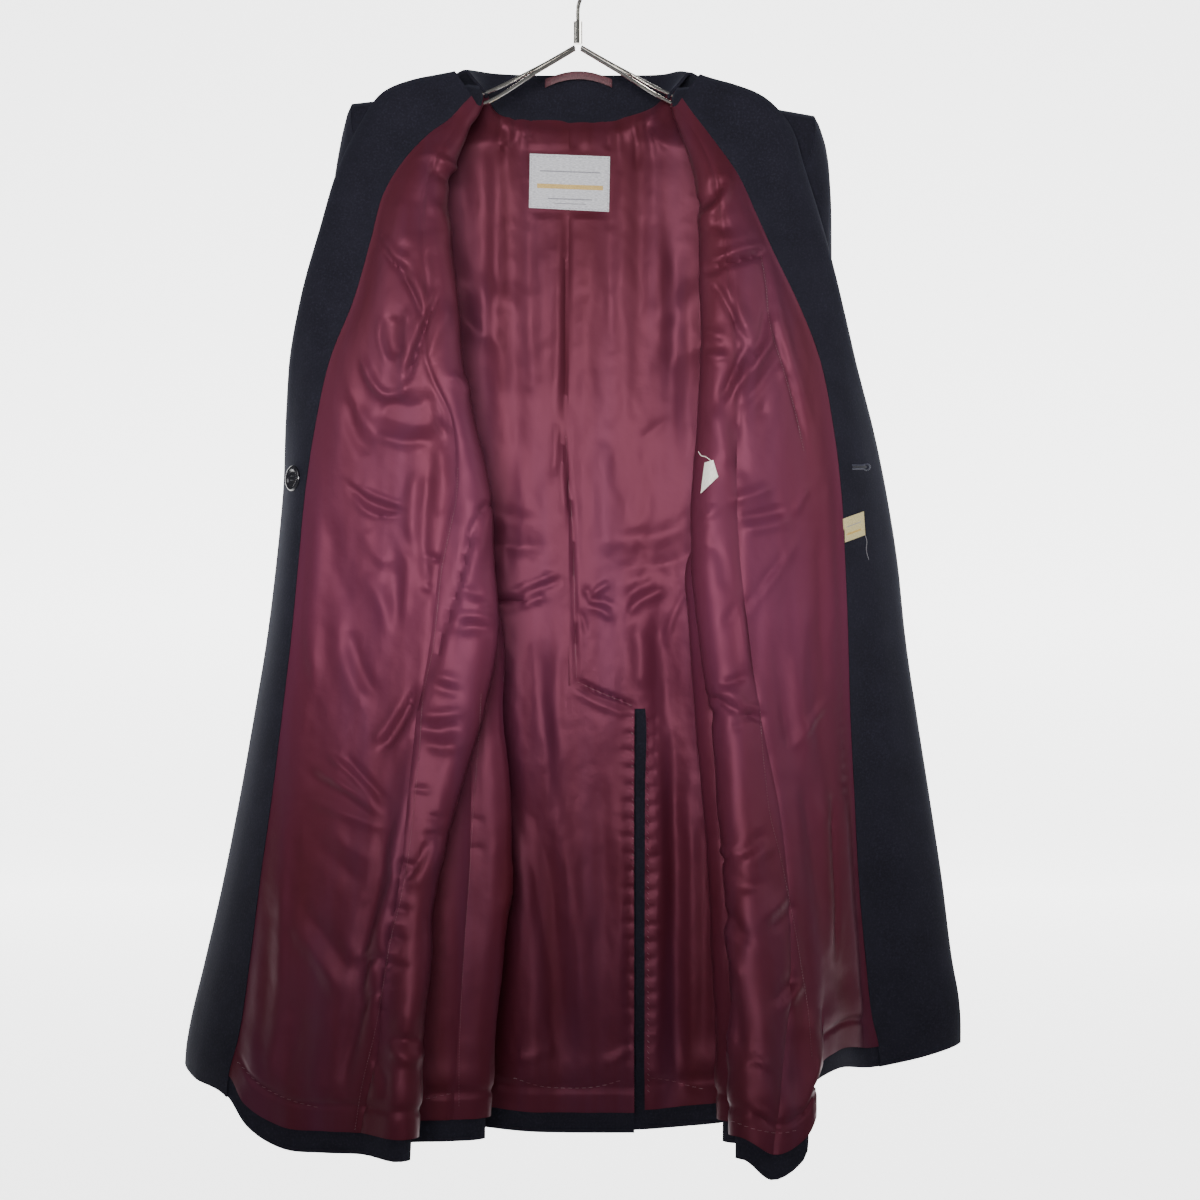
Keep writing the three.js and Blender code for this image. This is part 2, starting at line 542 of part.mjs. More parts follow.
function armholeLoop(sheet, side) {
  const { points } = sheet;
  const loop = [];
  const push = (i, j, lift) => {
    const p = points[i][j].clone();
    p.x += side * (lift ? ARMHOLE_CLEAR : SEAM_GAP);
    p.z += lift;
    loop.push(p);
  };
  for (let i = 0; i <= UNDERARM; i++) push(i, sideColumn, i === UNDERARM ? ARMHOLE_LIFT.corner : 0);
  for (let j = sideColumn + 1; j < under; j++) push(UNDERARM, j, ARMHOLE_LIFT.bottom);
  for (let i = UNDERARM; i > 0; i--) push(i, under, i === UNDERARM ? ARMHOLE_LIFT.corner : 0);
  return loop;
}

// Where each point of the armhole's loop lies across and along a flattened oval
const OVAL = { power: 2.4, least: 0.07, inner: 0.01, innerRear: 0.74 };
function ovalShares(loop) {
  const top = loop[0].z;
  const bottom = loop[UNDERARM].z;
  const bottomCount = under - sideColumn;
  return loop.map((p, n) => {
    const innerStep = (n - UNDERARM) / bottomCount;
    if (innerStep > 0 && innerStep < 1)
      return [OVAL.inner, THREE.MathUtils.lerp(OVAL.innerRear, 1 - OVAL.innerRear, innerStep)];
    const out = Math.max((p.z - bottom) / (top - bottom), OVAL.least);
    const depth = (1 - Math.abs(2 * out - 1) ** OVAL.power) ** (1 / OVAL.power) / 2;
    return [out, innerStep >= 1 ? 0.5 - depth : 0.5 + depth];
  });
}

function sleeve(name, sheet, side, rows) {
  const first = armholeLoop(sheet, side);
  const shares = ovalShares(first);
  const rings = rows.map((row) =>
    shares.map(([outShare, rearShare]) => {
      return point(
        THREE.MathUtils.lerp(row.inX, row.outX, outShare),
        THREE.MathUtils.lerp(row.frontY, row.rearY, rearShare),
        THREE.MathUtils.lerp(row.inZ, row.outZ, outShare),
      );
    }),
  );
  const besideWall = (n) => n <= UNDERARM || n >= UNDERARM + under - sideColumn;
  add(`sleeve_${name}`, tubeWall([first, ...rings], WOOL.inner, WOOL.outer, besideWall), "wool");
}

// Collar: a stand up from the neck seam, a roll, and a fall that lies outside
const COLLAR_RADIUS = 4;
const COLLAR = table("standX standY standZ rollX rollY rollZ fallX fallY fallZ", [
  [-91, 1, -135.5, -111, -4, -122, -139, 4, -138],
  [-92, 18, -137, -104, 15, -118.5, -130, 30, -156],
  [-81, 40, -146.2, -85, 44, -114.5, -99, 62, -176],
  [-52, 54, -155.6, -53, 57, -113, -57, 74, -187],
  [-8, 57, -157.2, -8, 60, -112.5, -8, 78, -190],
  [36, 55, -156.4, 37, 58, -113, 41, 76, -188],
  [79, 40, -147.2, 84, 44, -115.5, 98, 62, -179],
  [91, 18, -138, 103, 15, -119, 130, 30, -160],
  [90, 1, -137.5, 110, -4, -124.5, 139, 4, -142],
]);

function collar() {
  const points = COLLAR.map((row) => {
    const stand = point(row.standX, row.standY, row.standZ);
    const roll = point(row.rollX, row.rollY, row.rollZ);
    const fall = point(row.fallX, row.fallY, row.fallZ);
    const outward = fall.clone().sub(stand).setZ(0).normalize();
    const rollFront = mix(roll, stand, 0.12);
    const rollRear = mix(roll, fall, 0.12).addScaledVector(outward, COLLAR_RADIUS);
    return [stand, mix(stand, roll, 0.5), rollFront, roll, rollRear, mix(rollRear, fall, 0.5), fall];
  });
  const all = () => true;
  add("collar", wall(surface(points, all, -1), all, -COLLAR_HALF, COLLAR_HALF), "wool");
}

// A small piece of cloth laid on a half's grid, between two rows and over the given columns
function onSheet(sheet, row, at) {
  const i = Math.min(Math.floor(row), sheet.points.length - 2);
  const j = Math.min(Math.floor(at), sheet.points[0].length - 2);
  const blend = (grid) =>
    mix(
      mix(grid[i][j], grid[i][j + 1], at - j),
      mix(grid[i + 1][j], grid[i + 1][j + 1], at - j),
      row - i,
    );
  return { position: blend(sheet.points), normal: blend(sheet.normals).normalize() };
}

function laidOn(samples, side, below) {
  const points = samples.map((row) => row.map((sample) => sample.position));
  const normals = samples.map((row) => row.map((sample) => sample.normal));
  const surfaceBelow = below - SEAM_GAP;
  return wall({ points, normals, side }, () => true, surfaceBelow - LABEL_THICK, surfaceBelow, 0);
}

// A label over both halves of the back lining
const MAIN_LABEL = { left: -50, right: 32, top: -193, bottom: -252, tilt: 3 };
function mainLabel(left, right) {
  const rowOf = (z) => {
    const levels = left.points.map((row) => row[centreColumn].z);
    const i = levels.findIndex((value, n) => z <= value && z > levels[n + 1]);
    return i + (levels[i] - z) / (levels[i] - levels[i + 1]);
  };
  const place = (x, z) => {
    const sheet = x < CENTRE_BACK_X ? left : right;
    const row = rowOf(z);
    for (let at = centreColumn; at < sideColumn; at += 0.02) {
      const sample = onSheet(sheet, row, at);
      if (Math.abs(sample.position.x - x) < 0.6) return sample;
    }
    return onSheet(sheet, row, centreColumn);
  };
  const { left: x0, right: x1, top, bottom, tilt } = MAIN_LABEL;
  const across = [0, 1 / 3, 2 / 3, 1];
  const samples = [0, 0.5, 1].map((v) =>
    across.map((u) => {
      const x = THREE.MathUtils.lerp(x0, x1, u);
      const z = THREE.MathUtils.lerp(top, bottom, v) - tilt * u;
      const sample = place(x, z);
      return point(x, sample.position.y + LINING.inner - SEAM_GAP * 1.5, z);
    }),
  );
  const sheet = surface(samples, () => true, 1);
  add("main_label", wall(sheet, () => true, -LABEL_THICK, 0, 0), "paleCloth");
}

const SMALL_LABEL = { rows: [0.36, 0.7], columns: [0.02, 0.35, 0.66], tilt: 0.12 };
function smallLabel(sheet) {
  const [top, bottom] = SMALL_LABEL.rows.map((share) => level("j") + share);
  const samples = [top, bottom].map((row) =>
    SMALL_LABEL.columns.map((share) =>
      onSheet(sheet, row - SMALL_LABEL.tilt * share, column("facingSeam") + share),
    ),
  );
  add("small_label", laidOn(samples, sheet.side, FACING.inner), "creamCloth");
}

const CARE_LABEL = { rows: [0.55, 0.97], columns: [-0.6, 0, 0.4] };
function careLabel(sheet) {
  const samples = CARE_LABEL.rows.map((share) =>
    CARE_LABEL.columns.map((at) => onSheet(sheet, level("i") + share, column("foldFront") + at)),
  );
  add("care_label", laidOn(samples, sheet.side, LINING.inner), "paleCloth");
}

const LOOP = { half: 34, width: 8, thick: 1.5, ends: -121, rise: 8, bulge: 4, standY: 55.5 };
function hangingLoop() {
  const steps = 8;
  const points = Array.from({ length: steps + 1 }, (_, n) => {
    const u = (2 * n) / steps - 1;
    const arch = 1 - u * u;
    const z = LOOP.ends + LOOP.rise * arch;
    const y = LOOP.standY - 0.9 * u * u - LOOP.bulge * arch;
    return [point(LOOP.half * u, y, z - LOOP.width / 2), point(LOOP.half * u, y, z + LOOP.width / 2)];
  });
  const all = () => true;
  add("hanging_loop", wall(surface(points, all, -1), all, -LOOP.thick / 2, LOOP.thick / 2, 0), "loopBraid");
}

// Button on the left facing, on a thread shank
const BUTTON = { radius: 12.8, thick: 3, bevel: 0.8, hole: 1.3, holeOffset: 3 };
const SHANK = { radius: 2.2, length: 2.2, seat: 0.6 };
const BUTTON_PLACE = { below: 0.83, across: 0.52 };
function button(sheet) {
  const { position, normal } = onSheet(sheet, level("i") + BUTTON_PLACE.below, column("facingSeam") + BUTTON_PLACE.across);
  const out = normal.clone().negate();
  const turn = new THREE.Quaternion().setFromUnitVectors(point(0, 0, 1), out);
  const place = (mesh, distance) => {
    mesh.quaternion.copy(turn);
    mesh.position.copy(position).addScaledVector(out, distance);
  };
  const surfaceOut = -FACING.inner + SEAM_GAP + SHANK.seat;
  const shank = new THREE.CylinderGeometry(SHANK.radius, SHANK.radius, SHANK.length, 12);
  shank.rotateX(Math.PI / 2);
  place(add("button_shank", shank, "wool"), surfaceOut + SHANK.length / 2);
  const outline = new THREE.Shape().absarc(0, 0, BUTTON.radius - BUTTON.bevel, 0, 2 * Math.PI);
  for (const [x, y] of [[1, 1], [-1, 1], [-1, -1], [1, -1]]) {
    const centre = [(x * BUTTON.holeOffset) / Math.SQRT2, (y * BUTTON.holeOffset) / Math.SQRT2];
    outline.holes.push(new THREE.Path().absarc(...centre, BUTTON.hole, 0, 2 * Math.PI, true));
  }
  const disc = new THREE.ExtrudeGeometry(outline, {
    depth: BUTTON.thick - 2 * BUTTON.bevel,
    bevelThickness: BUTTON.bevel,
    bevelSize: BUTTON.bevel,
    bevelSegments: 1,
    curveSegments: 8,
  });
  place(add("button", disc, "horn"), surfaceOut + SHANK.length + SEAM_GAP + BUTTON.bevel);
}

// Hanger: hook, ferrule, and one bent wire for each arm
function wire(name, points, steps) {
  const path = new THREE.CatmullRomCurve3(points, false, "centripetal");
  const ring = new THREE.Shape();
  for (let n = 0; n < WIRE_SIDES; n++) {
    const angle = (2 * Math.PI * n) / WIRE_SIDES;
    const method = n ? "lineTo" : "moveTo";
    ring[method](WIRE_RADIUS * Math.cos(angle), WIRE_RADIUS * Math.sin(angle));
  }
  const geometry = new THREE.ExtrudeGeometry(ring, { steps, extrudePath: path, curveSegments: 1 });
  add(name, geometry, "chrome");
}

function hanger() {
  const hookCentre = WIRE_RADIUS - HOOK_RADIUS;
  const hook = [];
  for (let degrees = 200; degrees >= -20; degrees -= 20) {
    const angle = THREE.MathUtils.degToRad(degrees);
    hook.push(point(HOOK_RADIUS * Math.cos(angle), 0, hookCentre + HOOK_RADIUS * Math.sin(angle)));
  }
  hook.push(point(12, 0, -39), point(3, 0, -48), point(0, 0, -58), point(0, 0, FERRULE.top + SEAM_GAP));
  wire("hanger_hook", hook, 30);
  const ferrule = new THREE.CylinderGeometry(
    FERRULE.radius, FERRULE.radius, FERRULE.top - FERRULE.bottom, 16,
  );
  ferrule.rotateX(Math.PI / 2);
  add("hanger_ferrule", ferrule, "chrome").position.z = (FERRULE.top + FERRULE.bottom) / 2;
  for (const [name, side, ridge, reach] of [["left", -1, RIDGE_LEFT, 205], ["right", 1, RIDGE_RIGHT, 212]]) {
    const rest = (x) => ridgeHeight(ridge, x) - WIRE_DROP;
    const upper = [122, 161, 191, reach].map((x) => point(side * x, WIRE_Y.upper, rest(x)));
    const lower = [reach, 160, 122].map((x) => point(side * x, WIRE_Y.lower, rest(x) - 6));
    const run = [
      point(side * 3.2, WIRE_Y.upper, FERRULE.bottom - 2.2),
      point(side * 40, WIRE_Y.upper, -117),
      point(side * 99, WIRE_Y.upper, rest(99) - 1.5),
      ...upper,
      point(side * (reach + 5), (WIRE_Y.upper + WIRE_Y.lower) / 2, rest(reach) - 3),
      ...lower,
      point(side * 100, WIRE_Y.lower, -156.5),
      point(side * 38, WIRE_Y.lower, -121),
      point(side * 3.2, WIRE_Y.lower + 1, FERRULE.bottom - 6),
    ];
    wire(`hanger_arm_${name}`, run, 40);
  }
}

const left = half("left", -1, FRONT_LEFT, BODY_LEFT, RIDGE_LEFT);
const right = half("right", 1, FRONT_RIGHT, BODY_RIGHT, RIDGE_RIGHT);
sleeve("left", left, -1, SLEEVE_LEFT);
sleeve("right", right, 1, SLEEVE_RIGHT);
collar();
mainLabel(left, right);
hangingLoop();
smallLabel(right);
careLabel(right);
button(left);
hanger();

export default coat;
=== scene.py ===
"""A chesterfield coat hung open on a wire hanger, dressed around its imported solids.

Both fronts are turned back like doors, so the satin lining, the wool facings and the inside of the back
face the camera. The sections follow the coat as it is put together, from the hanger to the last stitch.
Sizes are in millimetres until a mesh is made, with +Z up, +X to the photograph's right and +Y away.
"""
import math

import bpy
import numpy as np
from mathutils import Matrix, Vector
from mathutils.bvhtree import BVHTree
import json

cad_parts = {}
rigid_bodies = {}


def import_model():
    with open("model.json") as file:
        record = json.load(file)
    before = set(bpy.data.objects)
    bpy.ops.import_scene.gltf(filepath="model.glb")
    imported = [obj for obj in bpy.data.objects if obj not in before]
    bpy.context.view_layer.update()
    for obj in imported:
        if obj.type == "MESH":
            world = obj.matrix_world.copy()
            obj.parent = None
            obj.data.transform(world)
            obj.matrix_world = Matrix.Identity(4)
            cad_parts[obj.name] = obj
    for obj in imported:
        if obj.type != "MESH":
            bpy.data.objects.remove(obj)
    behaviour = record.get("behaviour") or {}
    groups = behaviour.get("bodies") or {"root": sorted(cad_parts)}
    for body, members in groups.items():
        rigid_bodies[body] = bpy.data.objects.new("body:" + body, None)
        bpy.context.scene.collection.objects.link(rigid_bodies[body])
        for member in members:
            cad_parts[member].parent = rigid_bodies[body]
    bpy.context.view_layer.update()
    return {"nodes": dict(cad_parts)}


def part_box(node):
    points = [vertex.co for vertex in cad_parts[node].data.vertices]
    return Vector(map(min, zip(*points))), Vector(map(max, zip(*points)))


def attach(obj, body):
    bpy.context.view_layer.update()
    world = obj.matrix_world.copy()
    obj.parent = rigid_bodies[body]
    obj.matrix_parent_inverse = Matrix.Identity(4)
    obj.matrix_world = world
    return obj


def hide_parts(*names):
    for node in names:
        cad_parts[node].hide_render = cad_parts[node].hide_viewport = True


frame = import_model()

# Camera and studio
# A long lens looks straight at the coat from 2.2 m. A pale floor that rises into a pale wall stands behind
# it, as in a photographer's sweep.
CAMERA_PLACE = (22.0, -2200.0, -650.0)
PIXELS_PER_MM = 1.0  # on the coat's own plane, y = 0
IMAGE_MIDDLE = 600.0

camera_data = bpy.data.cameras.new("camera")
camera_data.lens = 66
camera_data.sensor_width = 36
camera_data.clip_end = 20
camera = bpy.data.objects.new("camera", camera_data)
camera.location = [value / 1000 for value in CAMERA_PLACE]
camera.rotation_euler = (math.pi / 2, 0, 0)
bpy.context.scene.collection.objects.link(camera)
bpy.context.scene.camera = camera


def linear(hex_colour):
    """Linear RGBA for an sRGB hex value."""
    channels = [int(hex_colour[n : n + 2], 16) / 255 for n in (1, 3, 5)]
    return [c / 12.92 if c <= 0.04045 else ((c + 0.055) / 1.055) ** 2.4 for c in channels] + [1.0]


def add_node(material, kind, settings=None, links=None):
    """Adds a node with its settings and links: a setting names a property, a socket or a ramp's stops."""
    node = material.node_tree.nodes.new(kind)
    for name, value in (settings or {}).items():
        if name == "stops":
            elements = node.color_ramp.elements
            while len(elements) < len(value):
                elements.new(0.5)
            for element, (place, colour) in zip(elements, value):
                element.position = place
                element.color = linear(colour)
            continue
        if isinstance(value, str) and value.startswith("#"):
            value = linear(value)
        if isinstance(name, str) and hasattr(node, name):
            setattr(node, name, value)
        else:
            node.inputs[name].default_value = value
    for name, source in (links or {}).items():
        material.node_tree.links.new(source, node.inputs[name])
    return node


def new_material(name):
    material = bpy.data.materials.new(name)
    material.use_nodes = True
    material.node_tree.nodes.clear()
    return material


def make_mesh(name, points, faces, material, uvs=None, smooth=True, sharp=50):
    """A mesh object from points in millimetres; uvs gives metres on the flat cloth for each point."""
    mesh = bpy.data.meshes.new(name)
    mesh.from_pydata((np.asarray(points, float) / 1000).tolist(), [], [list(map(int, f)) for f in faces])
    mesh.materials.append(material)
    if smooth:
        mesh.polygons.foreach_set("use_smooth", [True] * len(mesh.polygons))
        mesh.set_sharp_from_angle(angle=math.radians(sharp))
    if uvs is not None:
        layer = mesh.uv_layers.new(name="cloth")
        corner = np.empty(len(mesh.loops), dtype=np.int32)
        mesh.loops.foreach_get("vertex_index", corner)
        layer.data.foreach_set("uv", np.asarray(uvs, float)[corner].ravel())
    mesh.update()
    piece = bpy.data.objects.new(name, mesh)
    bpy.context.scene.collection.objects.link(piece)
    return piece


def studio_surface(name, colour, glow):
    """Matt paint; a backdrop that is lit from behind also glows."""
    paint = new_material(name)
    grain = add_node(paint, "ShaderNodeTexNoise", {"Scale": 300.0})
    bump = add_node(paint, "ShaderNodeBump", {"Strength": 0.02}, {"Height": grain.outputs["Fac"]})
    settings = {
        "Base Color": colour,
        "Roughness": 0.9,
        "Specular IOR Level": 0.1,
        "Emission Color": "#ffffff",
        "Emission Strength": glow,
    }
    shader = add_node(paint, "ShaderNodeBsdfPrincipled", settings, {"Normal": bump.outputs["Normal"]})
    add_node(paint, "ShaderNodeOutputMaterial", links={"Surface": shader.outputs[0]})
    return paint


FLOOR_Z, FLOOR_HALF = -1300, 4000
SWEEP_FRONT, WALL_Y, WALL_TOP, SWEEP_HALF, SWEEP_RADIUS = 120, 3300, 1500, 3200, 600
sweep_z = FLOOR_Z + 1  # the paper lies on the floor
profile = [(SWEEP_FRONT, sweep_z), (WALL_Y - SWEEP_RADIUS, sweep_z)]
for degrees in range(10, 91, 10):
    turn = math.radians(degrees)
    y = WALL_Y - SWEEP_RADIUS + SWEEP_RADIUS * math.sin(turn)
    profile.append((y, sweep_z + SWEEP_RADIUS * (1 - math.cos(turn))))
profile.append((WALL_Y, WALL_TOP))
sweep_points = [(x, y, z) for y, z in profile for x in (-SWEEP_HALF, SWEEP_HALF)]
sweep_faces = [(2 * n, 2 * n + 1, 2 * n + 3, 2 * n + 2) for n in range(len(profile) - 1)]
make_mesh("studio_sweep", sweep_points, sweep_faces, studio_surface("lit paper", "#ffffff", 3.2))
floor_points = [(x * FLOOR_HALF, y * FLOOR_HALF, FLOOR_Z) for x, y in ((-1, -1), (1, -1), (1, 1), (-1, 1))]
make_mesh("studio_floor", floor_points, [(0, 1, 2, 3)], studio_surface("pale floor", "#d8d8d8", 0.0))


def soft_light(name, place, aim, size, power, spread=180):
    data = bpy.data.lights.new(name, "AREA")
    data.shape = "RECTANGLE"
    data.size, data.size_y = size
    data.energy = power
    data.spread = math.radians(spread)
    lamp = bpy.data.objects.new(name, data)
    lamp.location = place
    lamp.rotation_euler = (Vector(aim) - Vector(place)).to_track_quat("-Z", "Y").to_euler()
    bpy.context.scene.collection.objects.link(lamp)


# Places in metres: a gridded softbox at chest height by the camera, so the hem is left darker, a weak light
# from each side, and one above and behind for the coat's outside
soft_light("front_light", (-0.25, -2.6, -0.40), (0.0, 0, -0.42), (0.9, 0.6), 6.8, spread=44)
soft_light("left_light", (-2.2, -1.4, 0.5), (0, 0, -0.45), (0.8, 1.2), 2.6, spread=90)
soft_light("right_light", (2.4, -1.3, 0.3), (0, 0, -0.6), (0.8, 1.2), 6.0, spread=90)
soft_light("rear_light", (0.8, 2.6, 2.2), (0, 0, -0.6), (1.6, 1.2), 14)

world = bpy.data.worlds.new("room")
world.use_nodes = True
world.node_tree.nodes["Background"].inputs["Color"].default_value = linear("#eef1f5")
world.node_tree.nodes["Background"].inputs["Strength"].default_value = 0.14
bpy.context.scene.world = world

# Wire hanger
# Drawn steel wire, bright chrome plated, bent to a hook and two arms that a crimped sleeve holds together.
# The solids already have its shape, so they only take the plating.
chrome = new_material("chrome-plated steel wire")  # a clear mirror, hazed by drawing marks of about 1 mm
wire_place = add_node(chrome, "ShaderNodeTexCoord").outputs["Object"]
drawn_marks = add_node(
    chrome, "ShaderNodeTexNoise", {"Scale": 900.0, "Detail": 2.0}, {"Vector": wire_place}
).outputs["Fac"]
haze_range = {"From Min": 0.3, "From Max": 0.7, "To Min": 0.08, "To Max": 0.2}
wire_haze = add_node(chrome, "ShaderNodeMapRange", haze_range, {"Value": drawn_marks})
wire_relief = {"Strength": 0.12, "Distance": 0.0001}
wire_bump = add_node(chrome, "ShaderNodeBump", wire_relief, {"Height": drawn_marks})
chrome_shader = add_node(
    chrome,
    "ShaderNodeBsdfPrincipled",
    {"Base Color": "#e2ded6", "Metallic": 1.0},
    {"Roughness": wire_haze.outputs["Result"], "Normal": wire_bump.outputs["Normal"]},
)
add_node(chrome, "ShaderNodeOutputMaterial", links={"Surface": chrome_shader.outputs[0]})
for wire_name in ("hanger_hook", "hanger_ferrule", "hanger_arm_left", "hanger_arm_right"):
    wire_part = frame["nodes"][wire_name]
    wire_part.data.materials.clear()
    wire_part.data.materials.append(chrome)

# Coat body, its form
# Each half is one run of cloth: centre back, side folds, the front turned back on its inner fold, facing
# and lapel. Places listed at 20 levels give it, and smooth curves run through them both ways.
LEVELS = "a turn b c d e f g h i j k l m n o p q r hem".split()
UNDERARM, VENT_TOP, LINING_HEM, HEM = (LEVELS.index(name) for name in ("i", "m", "r", "hem"))
CENTRE_BACK_X = -10
VENT_LAP = {"forward": 6, "reach": 57, "lining_start": 68, "slant": 23}
ROLL_RADIUS = 5.5


def table(names, rows):
    """Columns by name from listed rows, one row for each level."""
    return dict(zip(names.split(), np.array(rows, float).T))


FRONT_COLUMNS = "foldX foldY foldZ seamX seamY seamZ edgeX edgeY edgeZ radius strip bow lapel"
BODY_COLUMNS = "backY backZ sideX sideY sideZ creaseX creaseY hollowX hollowY underX underY foldDepth"
FRONT_LEFT = table(FRONT_COLUMNS, [
    (-96, -11, -158, -106, -17, -150, -122, -17, -127, 5, 0.2, 0, 0),
    (-102, -14, -167, -113, -20, -158, -137, -20, -131, 5, 0.2, 0, 10),
    (-110, -18, -178, -124, -22, -172, -162, -24, -137, 5, 0.2, 1, 26),
    (-119, -25, -200, -146, -28, -190, -191, -28, -150, 6, 0.2, 2, 44),
    (-130, -32, -234, -170, -32, -216, -214, -28, -182, 7, 0.2, 3, 56),
    (-134, -38, -267, -190, -36, -250, -233, -26, -219, 8, 0.2, 5, 60),
    (-130, -45, -307, -202, -40, -296, -254, -22, -284, 8, 0.2, 8, 56),
    (-122, -52, -357, -219, -42, -356, -274, -14, -351, 8, 0.18, 10, 46),
    (-119, -56, -416, -242, -43, -415, -286, 0, -410, 8, 0.17, 10, 30),
    (-106, -60, -480, -256, -42, -478, -291, 20, -473, 8, 0.05, 8, 14),
    (-91, -64, -543, -266, -40, -542, -293, 38, -538, 8, 0.115, 8, 0),
    (-86, -68, -611, -273, -38, -611, -300, 42, -609, 8, 0.21, 8, 0),
    (-82, -74, -684, -280, -38, -684, -310, 45, -686, 8, 0.26, 8, 0),
    (-96, -80, -761, -289, -39, -763, -324, 45, -767, 8, 0.257, 8, 0),
    (-122, -90, -842, -299, -40, -846, -340, 46, -854, 8, 0.17, 8, 0),
    (-140, -98, -918, -310, -41, -925, -357, 47, -936, 8, 0.115, 8, 0),
    (-148, -106, -993, -320, -42, -1003, -377, 48, -1018, 8, 0.165, 8, 0),
    (-152, -114, -1067, -332, -43, -1081, -394, 49, -1087, 8, 0.2, 6, 0),
    (-156, -121, -1157, -341, -44, -1116, -396, 50, -1102, 8, 0.29, 4, 0),
    (-157, -122, -1179, -343, -44, -1137, -397, 50, -1116, 8, 0.3, 4, 0),
])
FRONT_RIGHT = table(FRONT_COLUMNS, [
    (94, -11, -159, 104, -17, -152, 121, -17, -130, 5, 0.2, 0, 0),
    (98, -14, -168, 110, -20, -162, 133, -20, -135, 5, 0.2, 0, 10),
    (103, -18, -179, 120, -24, -177, 154, -25, -142, 5, 0.2, 1, 24),
    (111, -25, -200, 138, -28, -202, 183, -28, -155, 6, 0.2, 2, 44),
    (121, -32, -234, 159, -32, -234, 208, -28, -182, 7, 0.2, 3, 56),
    (124, -38, -269, 174, -36, -268, 222, -26, -223, 8, 0.2, 4, 60),
    (125, -44, -309, 192, -38, -308, 238, -22, -272, 8, 0.2, 6, 56),
    (126, -50, -359, 216, -36, -357, 260, -12, -349, 8, 0.2, 8, 46),
    (126, -54, -416, 238, -34, -414, 276, 10, -409, 8, 0.2, 10, 30),
    (123, -58, -480, 251, -32, -478, 295, 35, -472, 8, 0.2, 10, 14),
    (119, -62, -543, 259, -31, -542, 310, 42, -538, 8, 0.2, 10, 0),
    (118, -68, -611, 263, -30, -611, 322, 42, -609, 8, 0.22, 10, 0),
    (124, -76, -684, 266, -30, -684, 330, 38, -686, 8, 0.24, 10, 0),
    (134, -86, -760, 268, -30, -763, 341, 30, -767, 8, 0.26, 12, 0),
    (140, -98, -841, 272, -30, -847, 353, 20, -852, 8, 0.34, 14, 0),
    (146, -112, -916, 276, -30, -926, 364, 12, -932, 8, 0.4, 14, 0),
    (150, -125, -990, 283, -30, -1005, 373, 4, -1011, 8, 0.42, 12, 0),
    (149, -138, -1072, 290, -30, -1064, 379, -2, -1050, 8, 0.42, 8, 0),
    (148, -149, -1148, 296, -30, -1090, 380, -5, -1070, 8, 0.42, 2, 0),
    (148, -150, -1170, 297, -30, -1110, 380, -5, -1091, 8, 0.42, 2, 0),
])
BODY_LEFT = table(BODY_COLUMNS, [
    (58, -158, -226, 0, -156, -205, 4, -205, 4, -226, 0, 0),
    (57, -166, -226, 11, -161, -205, 4, -205, 4, -226, -9, 0),
    (55, -182, -224, 32, -182, -205, 4, -205, 4, -224, -10, 0),
    (53, -212, -214, 46, -212, -205, 4, -205, 4, -214, -10, 0),
    (52, -245, -204, 50, -245, -200, 4, -200, 4, -205, -10, 0),
    (51, -285, -197, 50, -285, -196, 4, -196, 4, -198, -10, 0),
    (50, -325, -193, 48, -325, -192, 4, -192, 4, -194, -10, 0),
    (50, -370, -192, 44, -370, -190, 4, -190, 4, -192, -10, 0),
    (50, -415, -192, 38, -415, -188, 12, -188, 0, -191, -10, 0),
    (50, -480, -188, 31, -462, -182, 14, -182, -12, -176, -34, 0),
    (50, -543, -172, 38, -543, -140, -2, -164, -30, -150, -46, 6),
    (50, -611, -150, 42, -611, -100, -12, -158, -38, -140, -50, 8),
    (50, -684, -132, 44, -684, -79, -18, -160, -42, -140, -54, 8),
    (50, -761, -126, 45, -761, -77, -20, -166, -46, -146, -60, 8),
    (50, -842, -126, 45, -842, -71, -22, -174, -50, -156, -66, 8),
    (50, -918, -128, 45, -918, -71, -24, -180, -54, -166, -70, 8),
    (50, -993, -130, 45, -993, -76, -26, -184, -58, -170, -76, 8),
    (51, -1067, -132, 45, -1067, -82, -28, -188, -62, -174, -82, 8),
    (52, -1172, -134, 45, -1160, -89, -30, -190, -66, -176, -88, 8),
    (52, -1194, -134, 45, -1182, -90, -30, -190, -66, -176, -88, 8),
])
